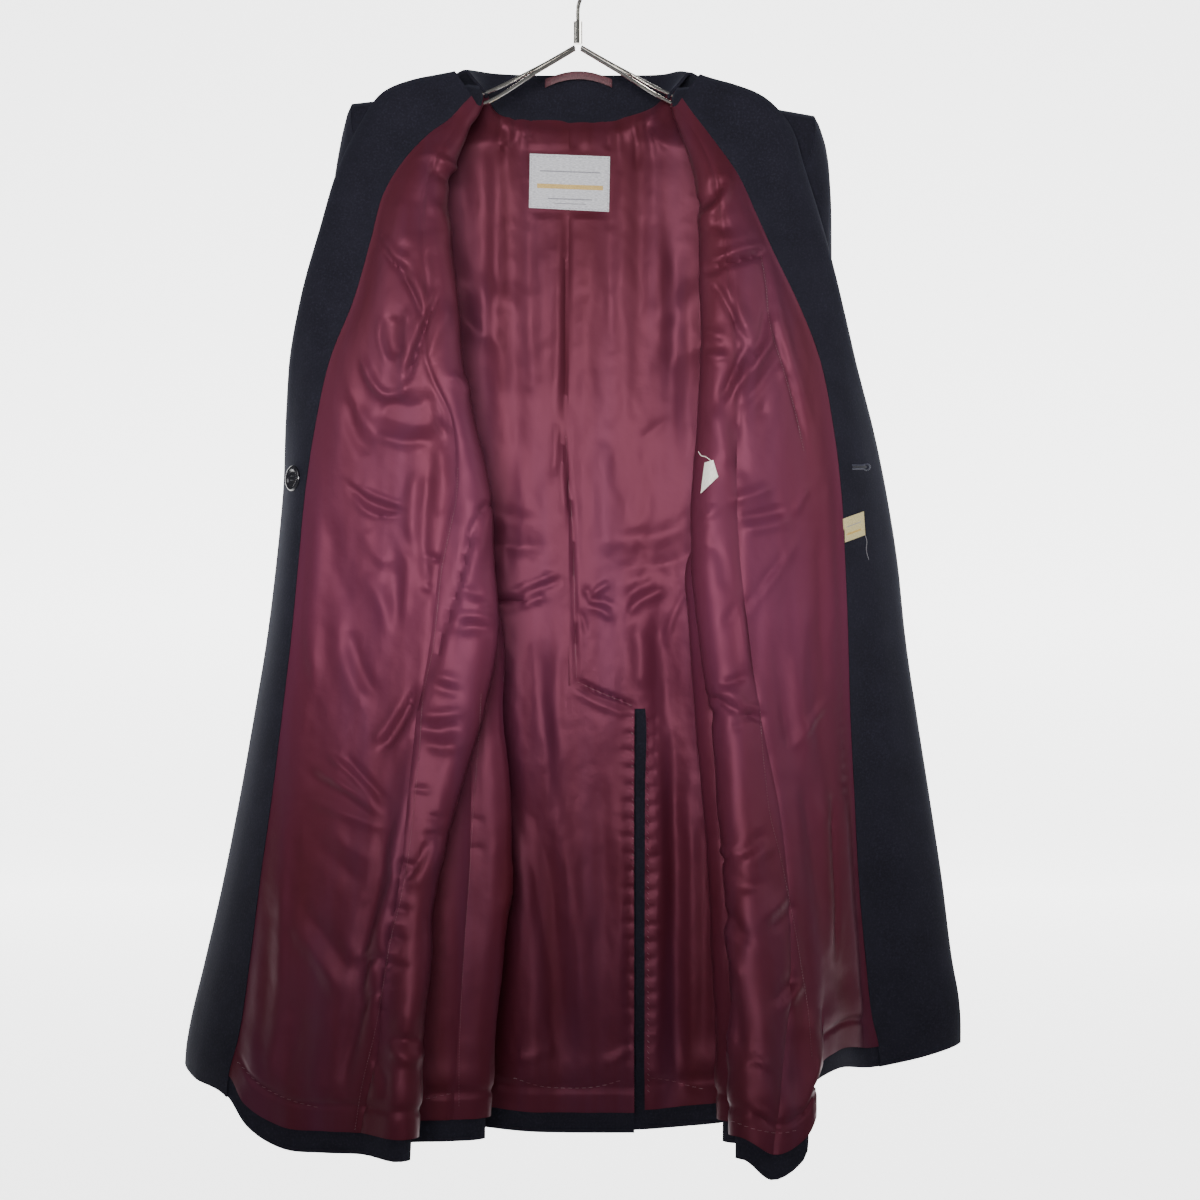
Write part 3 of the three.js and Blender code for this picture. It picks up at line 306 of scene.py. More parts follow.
BODY_RIGHT = table(BODY_COLUMNS, [
    (58, -158, 236, 0, -168, 215, 4, 215, 4, 236, 0, 0),
    (57, -166, 236, 11, -173, 215, 4, 215, 4, 236, -9, 0),
    (55, -182, 234, 32, -196, 215, 4, 215, 4, 234, -10, 0),
    (53, -212, 224, 46, -224, 212, 4, 212, 4, 224, -10, 0),
    (52, -245, 213, 50, -255, 208, 4, 208, 4, 213, -10, 0),
    (51, -285, 206, 50, -292, 202, 4, 202, 4, 206, -10, 0),
    (50, -325, 202, 48, -330, 200, 4, 200, 4, 202, -10, 0),
    (50, -370, 200, 44, -373, 198, 4, 198, 4, 200, -10, 0),
    (50, -415, 200, 38, -416, 196, 12, 196, 0, 198, -10, 0),
    (50, -480, 196, 31, -464, 190, 14, 190, -12, 184, -32, 0),
    (50, -543, 182, 38, -543, 150, 0, 176, -26, 160, -42, 6),
    (50, -611, 162, 42, -611, 116, -14, 172, -36, 152, -48, 8),
    (50, -684, 152, 44, -684, 117, -20, 174, -42, 154, -54, 8),
    (50, -761, 150, 45, -761, 119, -24, 178, -48, 158, -62, 8),
    (50, -842, 150, 45, -842, 125, -30, 184, -56, 164, -72, 8),
    (50, -918, 152, 45, -918, 131, -36, 190, -64, 170, -84, 8),
    (50, -993, 156, 45, -993, 136, -42, 196, -72, 174, -94, 8),
    (51, -1067, 158, 45, -1067, 140, -48, 200, -80, 176, -104, 8),
    (52, -1172, 160, 45, -1160, 141, -54, 202, -88, 178, -112, 8),
    (52, -1194, 160, 45, -1182, 141, -54, 202, -88, 178, -112, 8),
])
RIDGE_LEFT = [(-99, -138), (-122, -142), (-161, -148), (-191, -152), (-226, -156)]
RIDGE_RIGHT = [(99, -140), (121, -146), (161, -154), (191, -160), (236, -168)]
STRIP = ("sideSeam", "front1", "front2", "front3")  # places across the front, from the side seam out
HEM_LEFT = [(-205, -102, -1178), (-243, -88, -1180), (-284, -73, -1180), (-323, -55, -1162)]
HEM_RIGHT = [(180, -162, -1187), (212, -148, -1172), (219, -124, -1112), (245, -92, -1101)]
HEM_SHARE = {"o": 0.12, "p": 0.32, "q": 0.66, "r": 0.95, "hem": 1}
BACK_SHARES = {"centre": 0, "back1": 0.2, "back2": 0.4, "neck": 0.55, "back4": 0.7, "back5": 0.85, "side": 1}
NECK_EDGE = {"centre": (0, 58, 0), "back1": (42, 55, -1), "back2": (74, 42, -8)}
RIDGE_DROP = 6  # the second level lies this far below the shoulder's ridge
CREASE_DOWN, HOLLOW_DOWN, UNDER_DOWN = 0.35, 0.6, 0.75  # shares of the way from the side's z to the fold's
FOLD_SPREAD = 8  # how far a hidden side fold's cloth lies before and behind its middle
FACING_BOW, TIP_LIFT = 0.12, 0.5  # the facing's belly by its width, and its rolled edge's rise by its radius
COLUMNS = (
    "lap lapMiddle centre back1 back2 neck back4 back5 side creaseRear crease creaseFront backSeam "
    "hollowRear hollow hollowFront under under1 under2 foldRear fold foldFront sideSeam "
    "front1 front2 front3 facingSeam facing1 rollFront edge rollRear lapel1 lapel2"
).split()
COLUMN = {name: n for n, name in enumerate(COLUMNS)}


def place(x, y, z):
    return np.array([x, y, z], float)


def mix(a, b, share):
    return a + (b - a) * share


def ridge_height(ridge, x):
    return np.interp(abs(x), [abs(px) for px, _ in ridge], [z for _, z in ridge])


def along(chain, distance):
    """The point at a distance down an open chain of points."""
    for a, b in zip(chain, chain[1:]):
        step = np.linalg.norm(b - a)
        if distance <= step or b is chain[-1]:
            return mix(a, b, distance / step)
        distance -= step


def section(i, front, body, ridge, hem, side):
    """One level of one half: a point for each named column."""
    f = {name: values[i] for name, values in front.items()}
    b = {name: values[i] for name, values in body.items()}
    at = {}
    on_ridge = i < 2
    drop = RIDGE_DROP if i == 1 else 0
    vented = i >= VENT_TOP
    forward = VENT_LAP["forward"] if side < 0 and vented else 0
    slant = VENT_LAP["slant"] if side < 0 and i == VENT_TOP else 0

    centre = place(CENTRE_BACK_X, b["backY"] - forward, b["backZ"] + slant)
    side_point = place(b["sideX"], b["sideY"], b["sideZ"])
    lining_share = (VENT_LAP["lining_start"] - CENTRE_BACK_X) / (b["sideX"] - CENTRE_BACK_X)
    at["lap"] = place(VENT_LAP["reach"], centre[1], b["backZ"])
    at["lapMiddle"] = mix(centre, at["lap"], 0.5)
    for name, usual in BACK_SHARES.items():
        share = lining_share if side > 0 and vented and name == "back2" else usual
        bend = share**2
        at[name] = mix(centre, side_point, np.array([share, bend, bend]))
    if on_ridge:
        for n, name in enumerate(("neck", "back4", "back5", "side")):
            x = mix(ridge[0][0], b["sideX"], n / 3)
            at[name] = place(x, b["sideY"], ridge_height(ridge, x) - (drop - 1 if drop else 0))
        for name, (reach, y, neck_drop) in NECK_EDGE.items():
            x = side * (reach + 5) + CENTRE_BACK_X / 2 if reach else CENTRE_BACK_X
            lower = reach * 0.02 if drop else 0
            at[name] = place(x, y - (1 if drop else 0), b["backZ"] - neck_drop - lower)

    spread, depth = FOLD_SPREAD, b["foldDepth"]
    crease = place(b["creaseX"], b["creaseY"], mix(b["sideZ"], f["foldZ"], CREASE_DOWN))
    hollow = place(b["hollowX"], b["hollowY"], mix(b["sideZ"], f["foldZ"], HOLLOW_DOWN))
    at["creaseRear"] = crease + place(side * depth, spread, 0)
    at["crease"] = crease
    at["creaseFront"] = crease + place(side * depth, -spread, 0)
    at["hollowRear"] = hollow + place(-side * depth, spread, 0)
    at["hollow"] = hollow
    at["hollowFront"] = hollow + place(-side * depth, -spread, 0)
    at["backSeam"] = mix(at["creaseFront"], at["hollowRear"], 0.3 if depth else 0.5)

    fold = place(f["foldX"], f["foldY"], f["foldZ"])
    at["fold"] = fold
    at["foldRear"] = fold + place(side * f["radius"], f["radius"], 0)
    at["foldFront"] = fold + place(side * f["radius"], -f["radius"], 0)
    under_z = mix(b["sideZ"], f["foldZ"], 0 if i < UNDERARM else UNDER_DOWN)
    at["under"] = place(b["underX"], b["underY"], under_z)
    if on_ridge:
        at["foldRear"] = place(ridge[0][0], b["underY"], ridge_height(ridge, ridge[0][0]) - drop)
        for n, name in enumerate(("under", "under1", "under2")):
            x = mix(b["underX"], ridge[0][0], n / 3)
            at[name] = place(x, b["underY"], ridge_height(ridge, x) - drop)
    else:
        at["under1"] = mix(at["under"], at["foldRear"], 1 / 3)
        at["under2"] = mix(at["under"], at["foldRear"], 2 / 3)

    seam = place(f["seamX"], f["seamY"], f["seamZ"])
    edge = place(f["edgeX"], f["edgeY"], f["edgeZ"])
    shares = [f["strip"]] + [mix(f["strip"], 1, n / 4) for n in (1, 2, 3)]
    for name, share in zip(STRIP, shares):
        at[name] = mix(at["foldFront"], seam, share) - place(0, f["bow"] * 4 * share * (1 - share), 0)
    at["facingSeam"] = seam
    hem_share = HEM_SHARE.get(LEVELS[i], 0)
    if hem_share:
        last = {name: values[HEM] for name, values in front.items()}
        start = place(last["foldX"] + side * last["radius"], last["foldY"] - last["radius"], last["foldZ"])
        end = place(last["seamX"], last["seamY"], last["seamZ"])
        for n, (name, spot) in enumerate(zip(STRIP, hem)):
            even = mix(start, end, mix(last["strip"], 1, n / 4))
            at[name] = at[name] + (np.array(spot, float) - even) * hem_share

    reach = edge - seam
    out = place(reach[1], -reach[0], 0) * -side
    out /= np.linalg.norm(out)
    outward = out if out[1] < 0 else -out
    at["facing1"] = mix(seam, edge, 0.5) + outward * np.linalg.norm(reach) * FACING_BOW
    tip = edge - at["facing1"]
    tip /= np.linalg.norm(tip)
    at["edge"] = edge
    at["rollFront"] = edge - tip * ROLL_RADIUS + outward * ROLL_RADIUS * TIP_LIFT
    chain = [at["rollFront"], at["facing1"], seam, at["front3"], at["front2"], at["front1"]]
    for name, distance in (
        ("rollRear", 0.01),
        ("lapel1", max(f["lapel"] * 0.5, 1)),
        ("lapel2", max(f["lapel"], 2)),
    ):
        at[name] = along(chain, distance) - outward * 2 * ROLL_RADIUS
    return np.array([at[name] for name in COLUMNS])


def through(chain, steps, breaks=()):
    """A smooth curve through a chain of points (first axis), cut at breaks into curves of their own."""
    spans = np.maximum(np.linalg.norm(np.diff(chain, axis=0), axis=-1, keepdims=True), 1e-6)
    slopes = np.diff(chain, axis=0) / spans
    tangents = np.empty(chain.shape)
    tangents[1:-1] = (slopes[:-1] * spans[1:] + slopes[1:] * spans[:-1]) / (spans[1:] + spans[:-1])
    tangents[0], tangents[-1] = slopes[0], slopes[-1]
    out = []
    for k, count in enumerate(steps):
        start = slopes[k] if k in breaks else tangents[k]
        end = slopes[k] if k + 1 in breaks else tangents[k + 1]
        for s in range(count + (k == len(steps) - 1)):
            t = s / count
            out.append(
                (2 * t**3 - 3 * t**2 + 1) * chain[k]
                + (t**3 - 2 * t**2 + t) * spans[k] * start
                + (3 * t**2 - 2 * t**3) * chain[k + 1]
                + (t**3 - t**2) * spans[k] * end
            )
    return np.array(out)


def places(steps):
    """Which span each fine step lies in, and where: 3.5 is halfway down span 3."""
    return np.array([k + s / n for k, n in enumerate(steps) for s in range(n)] + [float(len(steps))])


def seen(points):
    """The photograph's pixel for each point."""
    away = 1 + points[..., 1] / -CAMERA_PLACE[1]
    across = IMAGE_MIDDLE + (points[..., 0] - CAMERA_PLACE[0]) * PIXELS_PER_MM / away
    down = IMAGE_MIDDLE - (points[..., 2] - CAMERA_PLACE[2]) * PIXELS_PER_MM / away
    return across, down


CREASE_REACH = 3  # widths: further off, a crease lifts nothing
FADE_RATE, END_SHARE = 4.5, 0.25  # how fast a crease rises from its ends, and how much of it stands there


def crease_heights(across, down, creases):
    """Height in mm of listed creases: each is (width, height, line of places), soft at its ends."""
    total = np.zeros(np.shape(across))
    for width, height, line in creases:
        line = np.array(line, float)
        fine = through(line, [5] * (len(line) - 1)) if len(line) > 2 else line
        margin = CREASE_REACH * width
        low, high = fine.min(axis=0) - margin, fine.max(axis=0) + margin
        near = (across > low[0]) & (across < high[0]) & (down > low[1]) & (down < high[1])
        if not near.any():
            continue
        x, y = across[near], down[near]
        best = np.full(x.shape, 1e9)
        where = np.zeros(x.shape)
        lengths = np.linalg.norm(np.diff(fine, axis=0), axis=1)
        whole, gone = lengths.sum(), 0.0
        for a, b, length in zip(fine, fine[1:], lengths):
            t = np.clip(((x - a[0]) * (b[0] - a[0]) + (y - a[1]) * (b[1] - a[1])) / length**2, 0, 1)
            away = np.hypot(x - a[0] - t * (b[0] - a[0]), y - a[1] - t * (b[1] - a[1]))
            closer = away < best
            best[closer] = away[closer]
            where[closer] = (gone + t[closer] * length) / whole
            gone += length
        fade = np.minimum(1, FADE_RATE * np.minimum(where, 1 - where) + END_SHARE)
        total[near] += height * fade * np.exp(-((best / width) ** 2)) * (best < margin)
    return total


RIPPLE_CELLS = 96


def ripple(across, down, long_way, seed):
    """Soft unplanned waves between -1 and 1; long_way is how long and how wide a wave is, in mm."""
    draw = np.random.default_rng(seed)
    grid = draw.uniform(-1, 1, (RIPPLE_CELLS, RIPPLE_CELLS))
    u = (across / long_way[0] + draw.uniform(0, 40)) % (RIPPLE_CELLS - 1)
    v = (down / long_way[1] + draw.uniform(0, 40)) % (RIPPLE_CELLS - 1)
    iu, iv = u.astype(int), v.astype(int)
    tu, tv = u - iu, v - iv
    tu, tv = tu * tu * (3 - 2 * tu), tv * tv * (3 - 2 * tv)
    top = grid[iv, iu] * (1 - tu) + grid[iv, iu + 1] * tu
    low = grid[iv + 1, iu] * (1 - tu) + grid[iv + 1, iu + 1] * tu
    return top * (1 - tv) + low * tv


WOOL_GRID, LINING_GRID = (5.0, 6.0), (2.7, 3.3)  # mm across and down: the satin takes the finer creases

# Broad forms that the wool and its lining share, seen from behind: (width, height, line of x, z places).
# A positive height stands out from the coat's outside.
REAR_FORMS = [
    (24, 6, [(-88, -700), (-92, -900), (-98, -1060), (-102, -1190)]),
    (20, -5, [(-50, -740), (-52, -930), (-50, -1190)]),
    (16, 4, [(-112, -560), (-104, -640), (-100, -720)]),
    (22, 5, [(96, -660), (104, -860), (112, -1190)]),
    (18, -5, [(66, -780), (70, -980), (70, -1190)]),
    (16, -3, [(126, -520), (130, -640), (136, -760)]),
    (14, -3.5, [(-150, -290), (-110, -330), (-60, -352)]),
    (12, 3, [(-160, -326), (-118, -366), (-72, -392)]),
    (14, -3, [(160, -300), (118, -344), (70, -366)]),
    (12, 2.5, [(172, -350), (130, -388), (84, -410)]),
    (10, -2.5, [(-150, -520), (-96, -560), (-40, -572)]),
    (9, 2.2, [(-140, -560), (-90, -592), (-30, -596)]),
    (10, -2.5, [(150, -540), (92, -582), (34, -590)]),
    (9, 2, [(146, -585), (96, -612), (40, -618)]),
    (30, 3.5, [(-84, -220), (-90, -330), (-86, -440)]),
    (30, 3.5, [(92, -226), (98, -340), (92, -450)]),
]
BODY_RIPPLE, BODY_WAVES, BODY_SEED = 1.1, (46, 210), 5  # mm high, and mm across and down
# How much of the forms each place takes, by level and by column: the seams, edges and shoulders keep still
CALM_LEVELS = ([0, 3, 6], [0, 0.3, 1])
CALM_COLUMNS = ([0, 2, 3, 16, 19, 23, 26, 29, 32], [0.3, 0.3, 1, 1, 0.3, 0.3, 0.5, 0, 0])


def half(front, body, ridge, hem, side, grid):
    """The fine grid of one half, with normals that point to the coat's outside."""
    coarse = np.array([section(i, front, body, ridge, hem, side) for i in range(len(LEVELS))])
    widths = np.linalg.norm(np.diff(coarse[4:], axis=1), axis=-1).mean(axis=0)
    across_steps = [max(2, int(round(width / grid[0]))) for width in widths]
    heights = np.linalg.norm(np.diff(coarse[:, [4, 20, 24]], axis=0), axis=-1).mean(axis=1)
    down_steps = [max(2, int(round(height / grid[1]))) for height in heights]
    rows = []
    for i, row in enumerate(coarse):
        above = {COLUMN["side"], COLUMN["under"]} if i < UNDERARM else {COLUMN["edge"]}
        rows.append(through(row, across_steps, above | {COLUMN["centre"]}))
    points = through(np.array(rows), down_steps)
    made = {"side": side, "coarse": coarse, "points": points}
    made["row"], made["column"] = places(down_steps), places(across_steps)
    made["row_cell"] = made["row"][:-1].astype(int)[:, None]
    made["column_cell"] = made["column"][:-1].astype(int)[None, :]
    set_normals(made)
    forms = crease_heights(points[..., 0], points[..., 2], REAR_FORMS)
    waves = ripple(points[..., 0] + points[..., 1], points[..., 2], BODY_WAVES, BODY_SEED + side)
    forms += BODY_RIPPLE * waves
    calm = np.interp(made["row"], *CALM_LEVELS)[:, None]
    calm = calm * np.interp(made["column"], *CALM_COLUMNS)
    armhole = (made["row"][:, None] < UNDERARM + 0.5) & (made["column"] > 6.5) & (made["column"] < 18)
    calm[armhole] = 0
    made["points"] = points + made["normals"] * (forms * calm)[..., None]
    set_normals(made)
    return made


# Which cells of a half each piece takes, by level and column
def within(half_grid, first, last):
    j = half_grid["column_cell"]
    return (j >= first) & (j < last)


def owned(half_grid, piece):
    i, side = half_grid["row_cell"], half_grid["side"]
    back_start = np.where((side < 0) & (i >= VENT_TOP), 0, COLUMN["centre"])
    back_end = np.where(i < UNDERARM, COLUMN["side"], COLUMN["backSeam"])
    front_end = np.where((i >= 1) & (i < UNDERARM), COLUMN["lapel2"], COLUMN["edge"])
    front_start = np.where(i < UNDERARM, COLUMN["under"], COLUMN["sideSeam"])
    return {
        "back": within(half_grid, back_start, back_end),
        "side": (i >= UNDERARM) & within(half_grid, COLUMN["backSeam"], COLUMN["sideSeam"]),
        "front": within(half_grid, front_start, front_end),
        "facing": within(half_grid, COLUMN["facingSeam"], front_end),
    }[piece]


def unit(vectors):
    return vectors / np.maximum(np.linalg.norm(vectors, axis=-1, keepdims=True), 1e-9)


def set_normals(half_grid):
    p = half_grid["points"]
    covered = owned(half_grid, "back") | owned(half_grid, "side") | owned(half_grid, "front")
    down = p[1:, :-1] + p[1:, 1:] - p[:-1, :-1] - p[:-1, 1:]
    across = p[:-1, 1:] + p[1:, 1:] - p[:-1, :-1] - p[1:, :-1]
    flat = unit(np.cross(down, across) * -half_grid["side"]) * covered[..., None]
    normals = np.zeros(p.shape)
    for di in (0, 1):
        for dj in (0, 1):
            normals[di : di + flat.shape[0], dj : dj + flat.shape[1]] += flat
    row, column = half_grid["row"], half_grid["column"]
    ridge_row = (column >= COLUMN["neck"]) & (column <= COLUMN["side"])
    ridge_row |= (column >= COLUMN["under"]) & (column <= COLUMN["foldRear"])
    normals[0, ridge_row] = (0, 0, 1)
    normals[:, column == COLUMN["centre"], 0] = 0
    for armhole_column in (COLUMN["side"], COLUMN["under"]):
        normals[np.ix_(row <= UNDERARM, column == armhole_column, [0])] = 0
    half_grid["normals"] = unit(normals)


def both_halves(grid):
    return {
        "left": half(FRONT_LEFT, BODY_LEFT, RIDGE_LEFT, HEM_LEFT, -1, grid),
        "right": half(FRONT_RIGHT, BODY_RIGHT, RIDGE_RIGHT, HEM_RIGHT, 1, grid),
    }


halves = both_halves(WOOL_GRID)


def cloth(name, half_grid, mask, inner, outer, material, height=None):
    """A closed wall over a half's cells; height lifts it off the wool, towards the coat's inside."""
    p, n = half_grid["points"], half_grid["normals"]
    if height is not None:
        p = p - n * height[..., None]
    rows, columns = p.shape[:2]
    used = np.zeros((rows, columns), bool)
    for di in (0, 1):
        for dj in (0, 1):
            used[di : di + rows - 1, dj : dj + columns - 1] |= mask
    index = np.full((rows, columns), -1)
    count = int(used.sum())
    index[used] = np.arange(count)
    points = np.concatenate([(p + n * outer)[used], (p + n * inner)[used]])
    i, j = np.nonzero(mask)
    top = np.stack([index[i, j], index[i + 1, j], index[i + 1, j + 1], index[i, j + 1]], axis=1)
    if half_grid["side"] > 0:
        top = top[:, ::-1]
    faces = [top, top[:, ::-1] + count]
    framed = np.pad(mask, 1)
    for di, dj, a, b in (
        (-1, 0, (0, 1), (0, 0)),
        (1, 0, (1, 0), (1, 1)),
        (0, -1, (0, 0), (1, 0)),
        (0, 1, (1, 1), (0, 1)),
    ):
        edge = mask & ~framed[1 + di : rows + di, 1 + dj : columns + dj]
        i, j = np.nonzero(edge)
        start, end = index[i + a[0], j + a[1]], index[i + b[0], j + b[1]]
        wall = np.stack([start, start + count, end + count, end], axis=1)
        faces.append(wall if half_grid["side"] < 0 else wall[:, ::-1])
    u = np.cumsum(np.pad(np.linalg.norm(np.diff(p, axis=1), axis=-1), ((0, 0), (1, 0))), axis=1)
    v = np.cumsum(np.pad(np.linalg.norm(np.diff(p, axis=0), axis=-1), ((1, 0), (0, 0))), axis=0)
    flat = np.stack([u[used], v[used]], axis=1) / 1000
    return make_mesh(name, points, np.concatenate(faces), material, np.concatenate([flat, flat]))


def declare_cloth(piece, node, slot, flat, area, rests_on):
    """flat is the width and length in metres of the cut of what shows, area its square metres; neither is
    used.
    """
    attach(piece, "root")
    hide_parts(node)


# Wool panels and facings
# Navy melton, a heavy woollen cloth, woven then fulled and brushed until its nap hides the weave. The
# panels are seamed together, and a facing of the same cloth lines each front's edge and lapel.
melton = new_material("brushed wool melton")  # gives a soft matt depth with a pale bloom at grazing angles
melton_place = add_node(melton, "ShaderNodeTexCoord").outputs["Object"]
NAP_PER_M, CLOUD_PER_M = 520.0, 26.0  # fibre tufts about 2 mm long, drawn coarser than real so they show
nap_noise, cloud_noise = {"Scale": NAP_PER_M, "Detail": 4.0}, {"Scale": CLOUD_PER_M, "Detail": 3.0}
nap = add_node(melton, "ShaderNodeTexNoise", nap_noise, {"Vector": melton_place})
cloud = add_node(melton, "ShaderNodeTexNoise", cloud_noise, {"Vector": melton_place})
fibre_shades = {"stops": [(0.3, "#0d0c14"), (0.55, "#171620"), (0.75, "#262532")]}
fibres = add_node(melton, "ShaderNodeValToRGB", fibre_shades, {"Fac": nap.outputs["Fac"]})
cloud_shades = {"stops": [(0.3, "#100f18"), (0.7, "#1c1b26")]}
clouds = add_node(melton, "ShaderNodeValToRGB", cloud_shades, {"Fac": cloud.outputs["Fac"]})
melton_mix = {"Color1": fibres.outputs["Color"], "Color2": clouds.outputs["Color"]}
melton_colour = add_node(melton, "ShaderNodeMixRGB", {"Fac": 0.45}, melton_mix)
melton_bump = add_node(
    melton, "ShaderNodeBump", {"Strength": 0.35, "Distance": 0.0006}, {"Height": nap.outputs["Fac"]}
)
melton_finish = {
    "Roughness": 0.92,
    "IOR": 1.5,
    "Specular IOR Level": 0.2,
    "Sheen Weight": 0.16,
    "Sheen Roughness": 0.55,
    "Sheen Tint": "#7c8096",
}
melton_shader = add_node(
    melton,
    "ShaderNodeBsdfPrincipled",
    melton_finish,
    {"Base Color": melton_colour.outputs["Color"], "Normal": melton_bump.outputs["Normal"]},
)
add_node(melton, "ShaderNodeOutputMaterial", links={"Surface": melton_shader.outputs[0]})

# Each panel's widest and longest run over its own form, and its area, all measured on the mesh
WOOL_CUT = {
    "back_left": ((0.324, 1.09), 0.273),
    "back_right": ((0.309, 1.084), 0.276),
    "side_left": ((0.207, 0.727), 0.127),
    "side_right": ((0.177, 0.721), 0.112),
    "front_left": ((0.33, 1.077), 0.27),
    "front_right": ((0.324, 1.057), 0.237),
    "facing_left": ((0.125, 1.077), 0.112),
    "facing_right": ((0.142, 1.045), 0.108),
}
WOOL_INNER, WOOL_OUTER = 0.2, 2.2
FACING_INNER, FACING_OUTER = -2.2, -0.2
for half_name, half_grid in halves.items():
    for part in ("back", "side", "front"):
        wool = cloth(
            f"{part}_{half_name}_wool", half_grid, owned(half_grid, part), WOOL_INNER, WOOL_OUTER, melton
        )
        node = f"{part}_{half_name}"
        declare_cloth(wool, node, "wool", *WOOL_CUT[node], ["hanger_arm_" + half_name])
    facing = cloth(
        f"facing_{half_name}_wool", half_grid, owned(half_grid, "facing"), FACING_INNER, FACING_OUTER, melton
    )
    node = f"facing_{half_name}"
    declare_cloth(facing, node, "wool", *WOOL_CUT[node], [f"front_{half_name}_wool"])

# Lining
# Shot viscose satin, purple one way and red-brown the other, cut with ease and felled by hand to the
# facings, so it hangs in soft folds. Its creases are listed one by one, in the photograph's pixels.
satin = new_material("shot viscose satin")  # long floats give a broad gloss that runs along the creases
satin_place = add_node(satin, "ShaderNodeTexCoord")
SHADE_ALONG = (24.0, 24.0, 2.2)  # per metre: streaks of shot colour about 40 mm wide that run down the cloth
FLOATS_PER_M = (1500.0, 260.0, 1.0)  # floats of about 0.7 mm, drawn coarser than the real 0.15 mm
satin_spot = satin_place.outputs["Object"]
shade_scale = add_node(
    satin, "ShaderNodeVectorMath", {"operation": "MULTIPLY", 1: SHADE_ALONG}, {0: satin_spot}
)
shade = add_node(
    satin, "ShaderNodeTexNoise", {"Scale": 1.0, "Detail": 3.0}, {"Vector": shade_scale.outputs["Vector"]}
)
shot_shades = {"stops": [(0.32, "#4a1a22"), (0.5, "#4e1f2d"), (0.68, "#50263a")]}
shot = add_node(satin, "ShaderNodeValToRGB", shot_shades, {"Fac": shade.outputs["Fac"]})
satin_split = add_node(satin, "ShaderNodeSeparateXYZ", links={"Vector": satin_spot})
coat_length = {"From Min": -1.2, "From Max": -0.12}  # z of the hem and of the neck
drop = add_node(satin, "ShaderNodeMapRange", coat_length, {"Value": satin_split.outputs["Z"]})
# Painted shade and highlight by height: the satin is painted darkest, and redder, at its hem, lightest and
# most purple at mid height, and darker and browner at its neck
painted_shade_by_height = add_node(
    satin,
    "ShaderNodeValToRGB",
    {"stops": [(0.0, "#22050a"), (0.25, "#310c15"), (0.5, "#5a2840"), (0.75, "#4a212e"), (1.0, "#341519")]},
    {"Fac": drop.outputs["Result"]},
)
# Half shot streaks, half painted shade and highlight by height
satin_mix = {"Color1": shot.outputs["Color"], "Color2": painted_shade_by_height.outputs["Color"]}
satin_colour_with_painted_shade = add_node(satin, "ShaderNodeMixRGB", {"Fac": 0.5}, satin_mix)
float_scale = add_node(
    satin, "ShaderNodeVectorMath", {"operation": "MULTIPLY", 1: FLOATS_PER_M}, {0: satin_place.outputs["UV"]}
)
floats = add_node(
    satin, "ShaderNodeTexNoise", {"Scale": 1.0, "Detail": 2.0}, {"Vector": float_scale.outputs["Vector"]}
)
CRUMPLE_PER_M = 42.0  # soft dents about 24 mm wide
crumple_noise = {"Scale": CRUMPLE_PER_M, "Detail": 3.0}
crumple = add_node(satin, "ShaderNodeTexNoise", crumple_noise, {"Vector": satin_spot})
crumple_bump = add_node(
    satin, "ShaderNodeBump", {"Strength": 0.25, "Distance": 0.003}, {"Height": crumple.outputs["Fac"]}
)
float_bump = add_node(
    satin,
    "ShaderNodeBump",
    {"Strength": 0.12, "Distance": 0.0002},
    {"Height": floats.outputs["Fac"], "Normal": crumple_bump.outputs["Normal"]},
)
float_direction = add_node(satin, "ShaderNodeTangent", {"direction_type": "UV_MAP", "uv_map": "cloth"})
satin_finish = {
    "Roughness": 0.48,
    "IOR": 1.5,
    "Specular IOR Level": 0.55,
    "Specular Tint": "#d47c94",
    "Anisotropic": 0.45,
    "Sheen Weight": 0.04,
    "Sheen Roughness": 0.35,
    "Sheen Tint": "#b05a7a",
}
satin_shader = add_node(
    satin,
    "ShaderNodeBsdfPrincipled",
    satin_finish,
    {
        "Base Color": satin_colour_with_painted_shade.outputs["Color"],
        "Normal": float_bump.outputs["Normal"],
        "Tangent": float_direction.outputs["Tangent"],
    },
)
add_node(satin, "ShaderNodeOutputMaterial", links={"Surface": satin_shader.outputs[0]})

